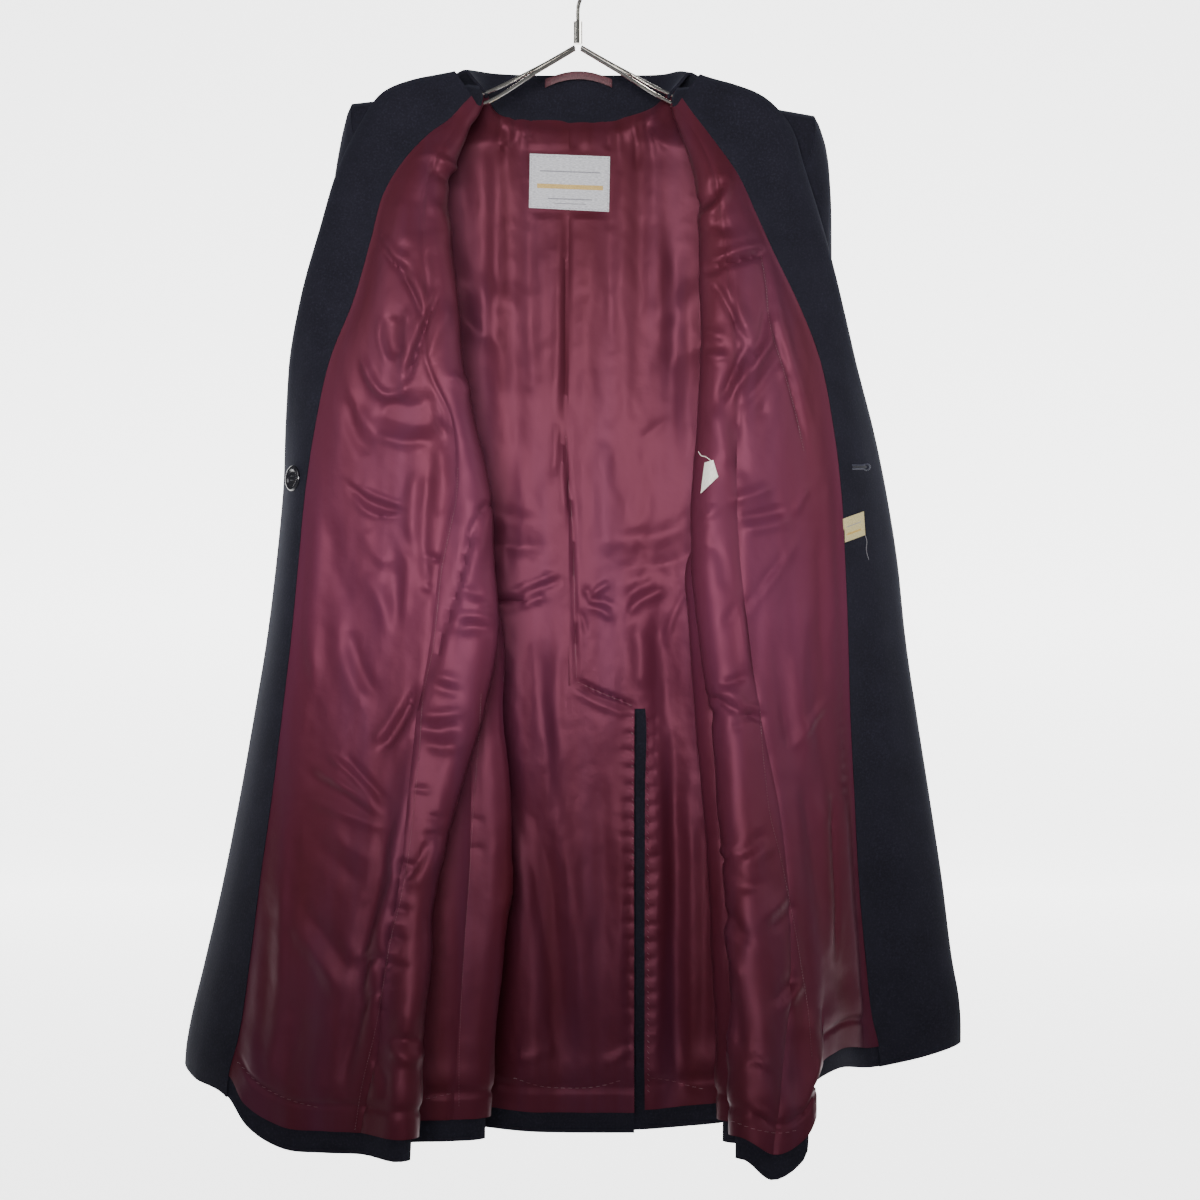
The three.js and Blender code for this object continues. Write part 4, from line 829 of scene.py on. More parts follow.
# (width, height, line of places): a positive height stands towards the viewer
BACK_CREASES = [
    # centre pleat from under the label, then the seam below it
    (3, -3.4, [(568, 213), (567, 247), (566, 301), (565, 381), (564, 416)]),
    (6, 2.6, [(560, 220), (559, 300), (557, 381), (556, 412)]),
    (2.4, -2.4, [(566, 420), (568, 480), (571, 507), (574, 574), (575, 627), (577, 681)]),
    (2, -3.4, [(577, 681), (600, 692), (620, 700), (637, 708)]),
    (3.5, 1.6, [(571, 690), (596, 703), (630, 716)]),
    (4, -2.2, [(557, 424), (556, 450), (553, 476)]),
    (5, 1.8, [(562, 430), (563, 470), (566, 520)]),
    # gathers at the neck
    (3, -2.4, [(500, 112), (499, 132), (500, 158)]),
    (3, 1.8, [(507, 112), (508, 136), (507, 168)]),
    (3, -2.2, [(514, 113), (515, 132), (514, 150)]),
    (3, 1.8, [(522, 115), (524, 130), (523, 152)]),
    (3, -2, [(531, 116), (531, 128), (530, 146)]),
    (3.5, -1.6, [(552, 120), (556, 126), (560, 131)]),
    (3, -1.8, [(574, 120), (573, 136), (574, 152)]),
    (3, 1.5, [(586, 120), (586, 138), (585, 150)]),
    (3, -2, [(607, 116), (608, 138), (609, 158)]),
    (3, 1.8, [(618, 114), (619, 134), (619, 160)]),
    (3, -2.2, [(634, 113), (636, 138), (637, 170)]),
    (3, 2, [(648, 112), (650, 138), (652, 160)]),
    (2.6, -2.6, [(662, 118), (664, 134), (666, 150)]),
    (3, -2, [(655, 114), (656, 126), (657, 140)]),
    # long soft folds that hang from the shoulders
    (12, -2.2, [(462, 150), (464, 250), (464, 350), (470, 420)]),
    (11, 2.2, [(482, 136), (484, 240), (484, 350), (488, 440)]),
    (7, -1.4, [(496, 130), (496, 230), (494, 320)]),
    (10, 1.9, [(513, 128), (512, 240), (514, 350), (518, 450)]),
    (6, -1.7, [(530, 150), (529, 240), (530, 320), (533, 390)]),
    (8, 1.2, [(546, 240), (545, 330), (545, 410)]),
    (10, 1.4, [(589, 222), (588, 320), (590, 420)]),
    (6, -1.5, [(609, 150), (610, 250), (611, 350)]),
    (9, 1.8, [(624, 130), (622, 240), (624, 350), (626, 440)]),
    (7, -1.5, [(641, 130), (641, 240), (640, 350)]),
    (7, 1.2, [(655, 142), (658, 250), (660, 340)]),
    (10, -2.2, [(676, 240), (675, 330), (672, 430)]),
    (7, 1.4, [(688, 290), (690, 380), (688, 470)]),
    (12, 1.7, [(600, 440), (606, 500), (604, 560)]),
    (9, -1.3, [(640, 470), (646, 520), (640, 570)]),
    (5, 1.1, [(641, 440), (655, 430), (669, 419)]),
    (10, -1.4, [(522, 450), (524, 510), (520, 570)]),
    (11, 1.7, [(505, 470), (506, 530), (504, 580)]),
    (9, 1.2, [(548, 470), (546, 530), (550, 566)]),
    # creases at the waist
    (2.8, -4, [(494, 601), (504, 601), (516, 602), (527, 600)]),
    (2.4, -2.4, [(496, 608), (508, 609), (522, 608)]),
    (4, 2.6, [(508, 594), (530, 586), (556, 574)]),
    (3.5, 2.2, [(522, 606), (534, 600), (546, 596)]),
    (4, -2, [(520, 592), (540, 586), (560, 580)]),
    (3.5, 2.4, [(588, 600), (598, 590), (610, 583)]),
    (3.5, 2.2, [(588, 606), (600, 610), (612, 618)]),
    (4, -2.4, [(584, 588), (590, 596), (594, 604)]),
    (3, -1.8, [(598, 600), (606, 602), (614, 606)]),
    (3, -2, [(580, 612), (584, 622), (586, 632)]),
    (5, 2.8, [(629, 614), (638, 602), (650, 596), (666, 589)]),
    (9, 3.4, [(634, 622), (640, 650), (640, 690)]),
    (9, -3, [(655, 612), (662, 670), (664, 730)]),
    (5, -2, [(626, 596), (640, 588), (656, 580)]),
    (4, 1.8, [(664, 640), (676, 610), (690, 584)]),
    # skirt
    (14, -4.5, [(516, 770), (526, 820), (540, 867), (550, 934), (558, 1001), (562, 1080)]),
    (12, 3.6, [(540, 700), (548, 780), (566, 860), (578, 940), (586, 1060)]),
    (4, 2.6, [(508, 860), (506, 885), (499, 912)]),
    (10, -2, [(600, 760), (606, 860), (606, 960)]),
    (13, 3.2, [(612, 780), (618, 900), (616, 1060)]),
    (9, 2.4, [(536, 640), (540, 700), (548, 760)]),
    (8, -2, [(560, 640), (556, 690), (560, 750)]),
    (7, 2.4, [(655, 740), (657, 860), (656, 1080)]),
    (8, -3.2, [(672, 740), (674, 860), (675, 1080)]),
    (7, 2.6, [(689, 760), (692, 880), (693, 1080)]),
    (6, -2.4, [(704, 800), (706, 900), (706, 1050)]),
    (5, 1.8, [(518, 1060), (540, 1052), (556, 1046)]),
    (5, 1.8, [(604, 1064), (616, 1056), (630, 1052)]),
]
# the slit's edges and the hem are pulled in by their stitches
for down in range(716, 1090, 17):
    BACK_CREASES.append((2.4, -1.5, [(622 + down % 5, down), (634, down + 2)]))
    BACK_CREASES.append((2.4, -1.5, [(646, down + 5), (657 - down % 4, down + 3)]))

LEFT_FRONT_CREASES = [
    # shoulder
    (4, 3.2, [(416, 158), (434, 157), (444, 164), (454, 169)]),
    (6, -3, [(428, 171), (442, 177), (452, 184)]),
    (5, 2, [(422, 147), (438, 149), (450, 150)]),
    (5, 2.6, [(431, 204), (439, 222), (443, 242)]),
    (6, -2.4, [(432, 248), (435, 272), (434, 298)]),
    (9, 2.4, [(404, 200), (400, 226), (408, 250)]),
    (8, -2, [(418, 196), (420, 220), (424, 240)]),
    # pleat below the shoulder
    (2.6, -3, [(371, 237), (384, 248), (399, 268), (414, 276)]),
    (2.6, -3, [(401, 271), (413, 294), (425, 324)]),
    (6, 2.4, [(384, 238), (398, 256), (412, 264)]),
    (5, 2.2, [(410, 270), (421, 292), (431, 316)]),
    # chest
    (3.2, -5.2, [(437, 297), (429, 317), (418, 349), (408, 382)]),
    (6, 3.4, [(426, 308), (416, 338), (402, 374)]),
    (5, 2.6, [(446, 306), (438, 332), (426, 366)]),
    (9, -4.6, [(397, 316), (394, 338), (398, 360)]),
    (4, 2.4, [(384, 316), (382, 338), (389, 362)]),
    (4, 2, [(408, 310), (408, 332), (406, 350)]),
    (5, 4, [(364, 356), (374, 382), (388, 396), (402, 394), (411, 380)]),
    (17, -7, [(382, 402), (400, 412), (420, 416), (442, 404)]),
    (4, 3, [(434, 402), (437, 418), (446, 436)]),
    (4, 2.8, [(448, 376), (457, 386), (462, 398)]),
    (6, 2.6, [(380, 436), (404, 442), (432, 440)]),
    (6, 2, [(352, 380), (360, 410), (378, 434)]),
    (7, -2.6, [(350, 398), (356, 430), (372, 456)]),
    # below the chest
    (5, -2.8, [(352, 482), (366, 499), (385, 508), (405, 512)]),
    (3, 2, [(349, 476), (366, 491), (386, 499), (408, 508)]),
    (3, 2, [(356, 492), (368, 511), (388, 517), (404, 515)]),
    (7, 2.6, [(440, 440), (444, 480), (440, 520)]),
    (5, -3, [(431, 462), (427, 500), (425, 545), (430, 592)]),
    (6, 2.6, [(418, 470), (412, 510), (414, 545)]),
    (2.6, -3, [(427, 557), (442, 560)]),
    (2.6, -2.2, [(424, 585), (433, 590)]),
    (5, 2.4, [(402, 545), (409, 562), (408, 590), (405, 622)]),
    (8, -3, [(394, 560), (398, 600), (394, 640)]),
    (8, 3, [(318, 478), (314, 574), (311, 627), (319, 694)]),
    (8, 2.6, [(366, 572), (382, 600), (398, 640)]),
    (7, -2.8, [(350, 630), (362, 668), (380, 700)]),
    (9, 2.6, [(340, 610), (346, 660), (366, 712)]),
    (8, -2, [(334, 520), (340, 570), (352, 610)]),
    (7, 2, [(366, 530), (380, 556), (392, 566)]),
    # fold that runs from the inner edge to the stitched strip, with the cloth blown out beside it
    (3, -3.8, [(486, 505), (476, 520), (468, 550), (458, 590), (449, 620), (440, 652), (431, 684)]),
    (6, 2.8, [(482, 526), (474, 560), (466, 594), (456, 628), (446, 664)]),
    (4, -3, [(477, 513), (485, 503)]),
    (5, 2.6, [(462, 618), (477, 616), (489, 625)]),
    (6, -3, [(460, 632), (474, 627), (486, 631)]),
    (5, -2.4, [(466, 588), (480, 598)]),
    (4, 1.8, [(470, 604), (484, 606)]),
    (5, -2.6, [(440, 686), (456, 695)]),
    (5, 2, [(440, 676), (458, 682)]),
    (7, -3.6, [(426, 728), (443, 732), (458, 724)]),
    (5, 2.4, [(428, 716), (446, 716), (460, 710)]),
    (6, 2.2, [(430, 744), (448, 748), (458, 742)]),
    # wedge
    (4.5, -5.5, [(384, 751), (396, 733), (408, 712), (418, 690)]),
    (5, 2.6, [(376, 744), (391, 722), (405, 700)]),
    (5, 3, [(397, 754), (411, 731), (426, 704)]),
    # drag lines into the strip
    (6, 3.2, [(314, 764), (340, 781), (366, 802), (387, 819)]),
    (4, 2.4, [(332, 754), (358, 778), (382, 806)]),
    (5, 2.2, [(316, 802), (345, 813), (386, 829)]),
    (5, -2.4, [(320, 782), (350, 797), (378, 816)]),
    (5, -2, [(346, 756), (370, 782), (388, 804)]),
    (8, 2, [(330, 826), (350, 846), (372, 858)]),
    (8, -1.8, [(322, 846), (344, 868), (366, 884)]),
    # shadowed channel beside the bright strip
    (8, -6, [(393, 822), (386, 850), (382, 880), (372, 914), (366, 950), (361, 1005), (352, 1050),
             (345, 1086)]),
    (5, 3, [(403, 822), (396, 850), (397, 880), (386, 914), (384, 948)]),
    (4, 2.6, [(360, 960), (374, 945), (380, 924)]),
    (3, -3, [(372, 962), (384, 955), (388, 970)]),
    (3.4, 2.6, [(362, 992), (373, 976), (379, 962)]),
    (4, -2.4, [(366, 1010), (372, 996), (384, 988)]),
    # the strip slopes down from its channel towards the light
    (13, 7, [(452, 640), (430, 720), (412, 800), (404, 850), (397, 900), (384, 950), (378, 1005),
             (368, 1064)]),
    # puckers across the strip's stitches
    (3, -2.8, [(402, 862), (417, 866)]),
    (5, 2, [(402, 876), (414, 884)]),
    (3, -2.4, [(397, 908), (412, 911)]),
    (5, 2, [(394, 920), (408, 926)]),
    (3, -2.8, [(391, 936), (408, 940)]),
    (3, -2.4, [(392, 964), (408, 967)]),
    (4.5, 2, [(390, 950), (402, 954)]),
    (3, -2, [(388, 985), (400, 983)]),
    (3, -2, [(430, 818), (442, 816)]),
    (3, -2.2, [(425, 836), (440, 832)]),
    (3, -1.8, [(418, 790), (430, 790)]),
    (3, -2, [(382, 1006), (392, 1010)]),
    (3, -2.8, [(407, 888), (420, 862), (431, 836)]),
    (5, 2.4, [(416, 888), (428, 862), (437, 842)]),
    (7, 3.4, [(424, 930), (420, 962), (412, 1002), (405, 1034)]),
    (5, -3.4, [(397, 1037), (413, 1041)]),
    (4.5, 2.6, [(397, 1048), (408, 1061), (416, 1048)]),
    (4, 2, [(376, 1060), (382, 1082), (380, 1104)]),
    (4, -2, [(390, 1070), (392, 1100)]),
    # skirt
    (9, 2.8, [(298, 922), (318, 952), (344, 994)]),
    (8, -2.4, [(312, 916), (336, 946), (356, 976)]),
    (4, 1.6, [(262, 905), (259, 960), (254, 1012)]),
    (6, 1.8, [(286, 880), (286, 940), (282, 1000)]),
    (7, -2, [(272, 900), (270, 970), (264, 1040)]),
    (11, 2.4, [(330, 1000), (324, 1050), (318, 1100)]),
    (9, -2.2, [(304, 1000), (296, 1050), (288, 1086)]),
    (8, 2, [(284, 1010), (272, 1070)]),
]

RIGHT_FRONT_CREASES = [
    # shoulder
    (4.5, 4, [(706, 222), (717, 207), (726, 192), (730, 171)]),
    (7, -4, [(703, 210), (712, 199), (719, 184)]),
    (5, -3, [(714, 223), (724, 230), (730, 226)]),
    (5, 2.4, [(716, 178), (724, 178), (732, 170)]),
    (9, 2.2, [(744, 206), (750, 226), (756, 240)]),
    (6, 2, [(716, 240), (732, 242), (748, 238)]),
    # the pleat's flap lies over the cloth below it
    (4.5, 3.4, [(767, 242), (752, 248), (734, 253), (716, 262)]),
    (3, -5.4, [(771, 249), (757, 256), (738, 262), (722, 266), (710, 273)]),
    (5, -3.6, [(708, 270), (718, 270)]),
    # second seam
    (3, -3, [(761, 256), (765, 280), (770, 325), (784, 372), (797, 420), (804, 452)]),
    (6, 2, [(770, 262), (776, 320), (792, 372), (806, 420)]),
    # crossed drag lines under the arm
    (3.4, -3, [(712, 278), (721, 295), (731, 316), (745, 346)]),
    (6, 2.6, [(722, 282), (738, 312), (752, 338)]),
    (4.5, -5, [(746, 346), (739, 362), (729, 382), (722, 403)]),
    (5, 3, [(754, 350), (746, 368), (737, 390)]),
    (3.4, -2.8, [(763, 309), (761, 331), (754, 352), (746, 374)]),
    (4, 3, [(769, 316), (767, 338), (759, 358), (750, 380)]),
    (4, 2.6, [(774, 338), (761, 355), (749, 370), (737, 386), (726, 403)]),
    (4.5, -2.4, [(780, 354), (765, 376), (753, 392), (740, 406)]),
    (5, 2.2, [(786, 366), (776, 388), (762, 412)]),
    (6, -2.6, [(756, 420), (770, 396), (782, 374)]),
    (4, 2.2, [(709, 332), (723, 338)]),
    (5, -2.2, [(711, 345), (725, 349)]),
    (4, 2.6, [(710, 357), (727, 359)]),
    (7, 2.4, [(714, 410), (722, 440), (724, 470)]),
    (7, -2.4, [(732, 420), (738, 450), (742, 480)]),
    # waist
    (6, 2.8, [(726, 502), (746, 497), (768, 488)]),
    (5.5, -3.4, [(740, 519), (760, 515), (782, 510)]),
    (5, 1.8, [(744, 530), (764, 528), (784, 522)]),
    (4, 2.8, [(748, 608), (762, 590), (776, 570), (792, 544)]),
    (4.5, -2.6, [(740, 612), (755, 596), (771, 572), (786, 552)]),
    (3, 2.2, [(792, 513), (797, 502), (804, 489)]),
    (5, 3.2, [(736, 598), (740, 630), (742, 655), (745, 674)]),
    (7, -2.2, [(752, 612), (754, 650), (756, 684)]),
    (4, -2.2, [(723, 628), (731, 612), (740, 600)]),
    (5, -2, [(712, 540), (720, 562), (724, 590)]),
    (3.4, 1.8, [(706, 520), (712, 514), (716, 506)]),
    (3.5, -3.2, [(725, 687), (733, 681), (742, 677)]),
    (2.4, -4, [(714, 695), (724, 702), (736, 714)]),
    (5, 2.4, [(716, 688), (728, 694), (740, 704)]),
    (3.2, -3.8, [(737, 718), (749, 716), (760, 720)]),
    (4, 2, [(738, 708), (750, 708), (762, 711)]),
    (3, -2.6, [(717, 708), (714, 726)]),
    (3, -2.2, [(738, 722), (735, 732)]),
    # long folds beside the facing
    (9, 3, [(802, 596), (797, 680), (806, 770)]),
    (8, -2.4, [(776, 640), (781, 700), (790, 760)]),
    (6, 2, [(826, 470), (830, 560), (834, 640)]),
    (6, -2, [(816, 520), (818, 600), (822, 690)]),
    (4, 2, [(822, 702), (806, 724), (788, 750)]),
    (6, -1.8, [(800, 780), (806, 840), (812, 900)]),
    (2.6, -3.6, [(828, 797), (829, 850), (831, 905), (830, 958)]),
    (7, 3.4, [(818, 790), (820, 850), (822, 905), (822, 960)]),
    (3, -5, [(852, 800), (857, 880), (859, 960), (861, 1056)]),
    (6, 3.6, [(842, 792), (846, 880), (849, 960), (850, 1056)]),
    (8, -2, [(836, 960), (838, 1010), (838, 1060)]),
    # lower front
    (3, -2.6, [(740, 857), (750, 846), (760, 833)]),
    (4, 2, [(746, 866), (756, 856), (766, 846)]),
    (5, -2.4, [(738, 872), (748, 889), (762, 880)]),
    (4.5, 2.8, [(760, 920), (770, 909), (782, 896)]),
    (5, -2, [(766, 930), (778, 920), (790, 906)]),
    (4.5, 3, [(777, 1012), (788, 997), (800, 982)]),
    (5, -2, [(770, 1006), (780, 990), (792, 976)]),
    (6, 2.6, [(806, 1010), (811, 1050), (813, 1088)]),
    (8, -2.4, [(790, 1030), (794, 1070), (796, 1110)]),
    (7, 2, [(760, 1010), (764, 1060), (766, 1110)]),
    (7, -2, [(748, 960), (750, 1010), (752, 1080)]),
    # rumpled inner strip
    (4, 3.2, [(711, 878), (720, 900), (730, 922), (740, 944)]),
    (4, 3, [(721, 912), (732, 940), (746, 986)]),
    (4, -3.6, [(713, 900), (723, 930), (733, 962)]),
    (4, -3, [(732, 908), (740, 926), (750, 944)]),
    (4, 3.2, [(727, 986), (731, 1020), (734, 1068)]),
    (4, -3.2, [(738, 992), (741, 1020), (743, 1052)]),
    (3, 2.2, [(726, 1042), (737, 1034)]),
    (3, -2.4, [(712, 856), (722, 862), (732, 858)]),
    (3.4, 2.4, [(716, 846), (728, 850), (738, 846)]),
    (3, -2.6, [(720, 966), (728, 972), (734, 982)]),
    (3.4, 2.2, [(744, 1066), (754, 1060), (766, 1067)]),
    (3, 2.4, [(744, 1117), (755, 1110), (767, 1117)]),
]
for down in range(600, 800, 12):
    RIGHT_FRONT_CREASES.append((3, -1.8, [(838 + down % 4, down + 2), (850, down)]))

# Hidden sides, between the back and the turned-back fronts: stitched side seams with long soft folds
SIDE_CREASES = [
    (2.6, -2.2, [(481, 640), (479, 735), (476, 775), (470, 867), (462, 987), (459, 1121)]),
    (8, 2.6, [(492, 690), (490, 800), (486, 960), (482, 1100)]),
    (3, -2, [(474, 818), (484, 822)]),
    (3, -1.8, [(470, 846), (482, 850)]),
    (5, 2.4, [(500, 720), (497, 840), (499, 960)]),
    (4, -2, [(448, 990), (446, 1040), (440, 1100)]),
    (8, -2.4, [(436, 900), (432, 1000), (428, 1100)]),
    (9, 2.4, [(410, 640), (404, 800), (398, 1000)]),
    (8, -2.6, [(384, 560), (380, 740), (372, 940)]),
    (7, 2, [(420, 500), (404, 560), (390, 600)]),
    (6, -2.2, [(430, 530), (412, 590), (396, 640)]),
    (2.6, -2.2, [(722, 640), (724, 760), (728, 900), (732, 1100)]),
    (8, 2.6, [(742, 600), (744, 760), (750, 1000)]),
    (8, -2.6, [(764, 560), (768, 740), (776, 960)]),
    (7, 2, [(716, 500), (736, 550), (752, 590)]),
    (6, -2.2, [(708, 540), (728, 590), (748, 630)]),
    (8, 2.4, [(700, 820), (706, 920), (712, 1060)]),
]

# Each lining panel's widest and longest run and its area, as for the wool
SATIN_CUT = {
    "back_left": ((0.333, 1.068), 0.266),
    "back_right": ((0.282, 1.062), 0.238),
    "side_left": ((0.219, 0.706), 0.131),
    "side_right": ((0.196, 0.702), 0.117),
    "front_left": ((0.255, 1.058), 0.174),
    "front_right": ((0.238, 1.054), 0.145),
}
LINING_INNER, LINING_OUTER = -1.2, -0.2
LIFT = {"back": 4.2, "side": 2.6, "front": 5.0}  # how far the cut's ease lets the lining stand off the wool
LEAST_LIFT, LABEL_LIFT, LEAST_EASE = 0.35, 3.2, 0.5
JUMP_UP, JUMP_LONG, HEM_TURN = 1.8, 16, 26  # the hem's hand-felled turn, and the ease that hangs over it
TURN_DIP, TURN_WIDE = 2.2, 3.5  # the hem's turn is pressed in along its edge
SEAM_DIP, SEAM_WIDE = 1.5, 2.6  # and so are the long seams
FACING_HOLD, NECK_HOLD, ARMHOLE_HOLD = 34, 16, 20  # how far from each seam the lining is still held down
LONG_WAVES, SHORT_WAVES, FINE_WAVES = (22, 120), (11, 34), (5.5, 9)  # the satin's crumples, mm
LABEL_PLACE, LABEL_REACH = (570, 183), (44, 33)  # in pixels: the lining lies still under the main label


def smooth_step(value):
    value = np.clip(value, 0, 1)
    return value * value * (3 - 2 * value)


def lining_height(half_grid, front_creases):
    p, row, column = half_grid["points"], half_grid["row"][:, None], half_grid["column"][None, :]
    across, down = seen(p)
    in_back = smooth_step(np.interp(column, [COLUMN["crease"], COLUMN["hollowRear"]], [1, 0]))
    in_front = smooth_step(np.interp(column, [COLUMN["under2"], COLUMN["fold"]], [0, 1]))
    ease = LIFT["side"] + (LIFT["back"] - LIFT["side"]) * in_back + (LIFT["front"] - LIFT["side"]) * in_front
    height = ease + in_back * crease_heights(across, down, BACK_CREASES)
    height += in_front * crease_heights(across, down, front_creases)
    height += (1 - in_back) * (1 - in_front) * crease_heights(across, down, SIDE_CREASES)
    height += 1.0 * ripple(across, down, LONG_WAVES, 21) + 0.5 * ripple(across, down, SHORT_WAVES, 22)
    height += 0.22 * ripple(across, down, FINE_WAVES, 23)
    by_label = np.abs(across - LABEL_PLACE[0]) < LABEL_REACH[0]
    by_label &= (np.abs(down - LABEL_PLACE[1]) < LABEL_REACH[1]) & (column < COLUMN["side"])
    height = np.where(by_label, LABEL_LIFT, height)

    steps = np.linalg.norm(np.diff(p, axis=1), axis=-1)
    run = np.cumsum(np.pad(steps, ((0, 0), (1, 0))), axis=1)
    run_down = np.cumsum(np.pad(np.linalg.norm(np.diff(p, axis=0), axis=-1), ((1, 0), (0, 0))), axis=0)

    def from_column(name):
        return np.abs(run - run[:, half_grid["column"] == COLUMN[name]])

    def from_level(level):
        return np.abs(run_down - run_down[half_grid["row"] == level])

    hem_away = from_level(LINING_HEM)
    height += JUMP_UP * np.exp(-(((hem_away - HEM_TURN - JUMP_LONG) / JUMP_LONG) ** 2))
    height -= TURN_DIP * np.exp(-(((hem_away - HEM_TURN) / TURN_WIDE) ** 2))
    held = smooth_step(from_column("facingSeam") / FACING_HOLD) * smooth_step(from_level(0) / NECK_HOLD)
    armhole = np.minimum(from_column("side"), from_column("under"))
    held = held * np.where(row < UNDERARM, smooth_step(armhole / ARMHOLE_HOLD), 1)
    for seam in ("backSeam", "sideSeam"):
        below = smooth_step((row - UNDERARM) / 1.5) if seam == "backSeam" else 1.0
        height -= SEAM_DIP * below * np.exp(-((from_column(seam) / SEAM_WIDE) ** 2))
    return LEAST_LIFT + np.maximum(height, LEAST_EASE) * held


lining_halves = both_halves(LINING_GRID)
for half_name, half_grid in lining_halves.items():
    creases = LEFT_FRONT_CREASES if half_name == "left" else RIGHT_FRONT_CREASES
    half_grid["height"] = lining_height(half_grid, creases)
    lined = (half_grid["row_cell"] < LINING_HEM) & (half_grid["column_cell"] < COLUMN["facingSeam"])
    if half_name == "right":
        lined &= ~((half_grid["row_cell"] >= VENT_TOP) & (half_grid["column_cell"] < COLUMN["back2"]))
    for part in ("back", "side", "front"):
        lining = cloth(
            f"lining_{part}_{half_name}_satin",
            half_grid,
            owned(half_grid, part) & lined,
            LINING_INNER,
            LINING_OUTER,
            satin,
            half_grid["height"],
        )
        node = f"{part}_{half_name}"
        declare_cloth(lining, f"lining_{node}", "satin", *SATIN_CUT[node], [f"{node}_wool"])

# Sleeves
# Tubes of the same melton set into the armholes. They hang behind the fronts, flattened by their own
# weight, and break at the elbow in a few short folds.
SLEEVE_COLUMNS = "outX outZ inX inZ frontY rearY"
SLEEVE_LEFT = table(SLEEVE_COLUMNS, [
    (-236, -182, -196, -464, -12, 50),
    (-244, -232, -199, -470, -13, 55),
    (-250, -300, -200, -480, -14, 61),
    (-260, -385, -200, -500, -15, 68),
    (-268, -470, -200, -535, -17, 76),
    (-274, -560, -199, -590, -22, 82),
    (-277, -660, -200, -670, -24, 84),
    (-277, -745, -203, -745, -24, 82),
    (-276, -806, -206, -800, -22, 78),
])
SLEEVE_RIGHT = table(SLEEVE_COLUMNS, [
    (248, -194, 203, -466, -10, 50),
    (253, -240, 206, -472, -8, 56),
    (254, -305, 208, -482, -4, 64),
    (255, -385, 208, -502, 0, 72),
    (264, -470, 208, -538, 2, 80),
    (272, -560, 207, -592, 0, 86),
    (278, -660, 207, -672, -4, 88),
    (279, -745, 208, -747, -6, 88),
    (279, -806, 210, -802, -4, 84),
])
ARMHOLE_LIFT = {"corner": 4, "bottom": 6.5}
ARMHOLE_CLEAR, SEAM_GAP = 1.8, 0.3
OVAL = {"power": 2.4, "least": 0.07, "inner": 0.01, "inner_rear": 0.74}
SLEEVE_FINE = 6.0
SLEEVE_RIPPLE, SLEEVE_WAVES, SLEEVE_SEED = 0.8, (30, 90), 31
CALM_RINGS = 9  # the folds grow over this many rings below the armhole
# Folds across the sleeve, seen from the front: (width, height, line of x away from the coat's middle, z)
SLEEVE_FOLDS = [
    (9, -4, [(236, -520), (222, -532), (206, -540)]),
    (8, 3.5, [(240, -536), (224, -548), (208, -556)]),
    (9, -4, [(246, -560), (226, -574), (204, -580)]),
    (8, 3, [(252, -580), (230, -592), (206, -600)]),
    (12, -3.5, [(226, -250), (234, -330), (236, -420)]),
    (14, 3.5, [(212, -280), (216, -360), (218, -460)]),
    (9, -3, [(262, -640), (244, -656), (214, -664)]),
    (14, 3, [(236, -640), (236, -720), (238, -790)]),
    (12, -3, [(216, -650), (216, -720), (220, -790)]),
    (8, -2.5, [(206, -470), (222, -490), (240, -496)]),
]


def armhole_loop(half_grid):
    """The armhole's own edge, from the shoulder round under the arm and back up."""
    coarse, side = half_grid["coarse"], half_grid["side"]
    back, front = COLUMN["side"], COLUMN["under"]
    loop = []

    def push(i, j, lift):
        loop.append(coarse[i, j] + place(side * (ARMHOLE_CLEAR if lift else SEAM_GAP), 0, lift))

    for i in range(UNDERARM + 1):
        push(i, back, ARMHOLE_LIFT["corner"] if i == UNDERARM else 0)
    for j in range(back + 1, front):
        push(UNDERARM, j, ARMHOLE_LIFT["bottom"])
    for i in range(UNDERARM, 0, -1):
        push(i, front, ARMHOLE_LIFT["corner"] if i == UNDERARM else 0)
    return np.array(loop)


def oval_shares(loop):
    """Where each point of the armhole lies across and through a flattened oval."""
    top, bottom = loop[0][2], loop[UNDERARM][2]
    bottom_count = COLUMN["under"] - COLUMN["side"]
    shares = []
    for n, point in enumerate(loop):
        inner_step = (n - UNDERARM) / bottom_count
        if 0 < inner_step < 1:
            rear = mix(OVAL["inner_rear"], 1 - OVAL["inner_rear"], inner_step)
            shares.append((OVAL["inner"], rear))
            continue
        out = max((point[2] - bottom) / (top - bottom), OVAL["least"])
        depth = (1 - abs(2 * out - 1) ** OVAL["power"]) ** (1 / OVAL["power"]) / 2
        shares.append((out, 0.5 - depth if inner_step >= 1 else 0.5 + depth))
    return shares


def ring_walls(spans, sides, flip=False):
    """Faces between closed rings of points, with the same number of sides in each."""
    faces = []
    for k in range(spans):
        for n in range(sides):
            m = (n + 1) % sides
            a, b, c, d = k * sides + n, k * sides + m, (k + 1) * sides + m, (k + 1) * sides + n
            faces.append((a, d, c, b) if flip else (a, b, c, d))
    return faces


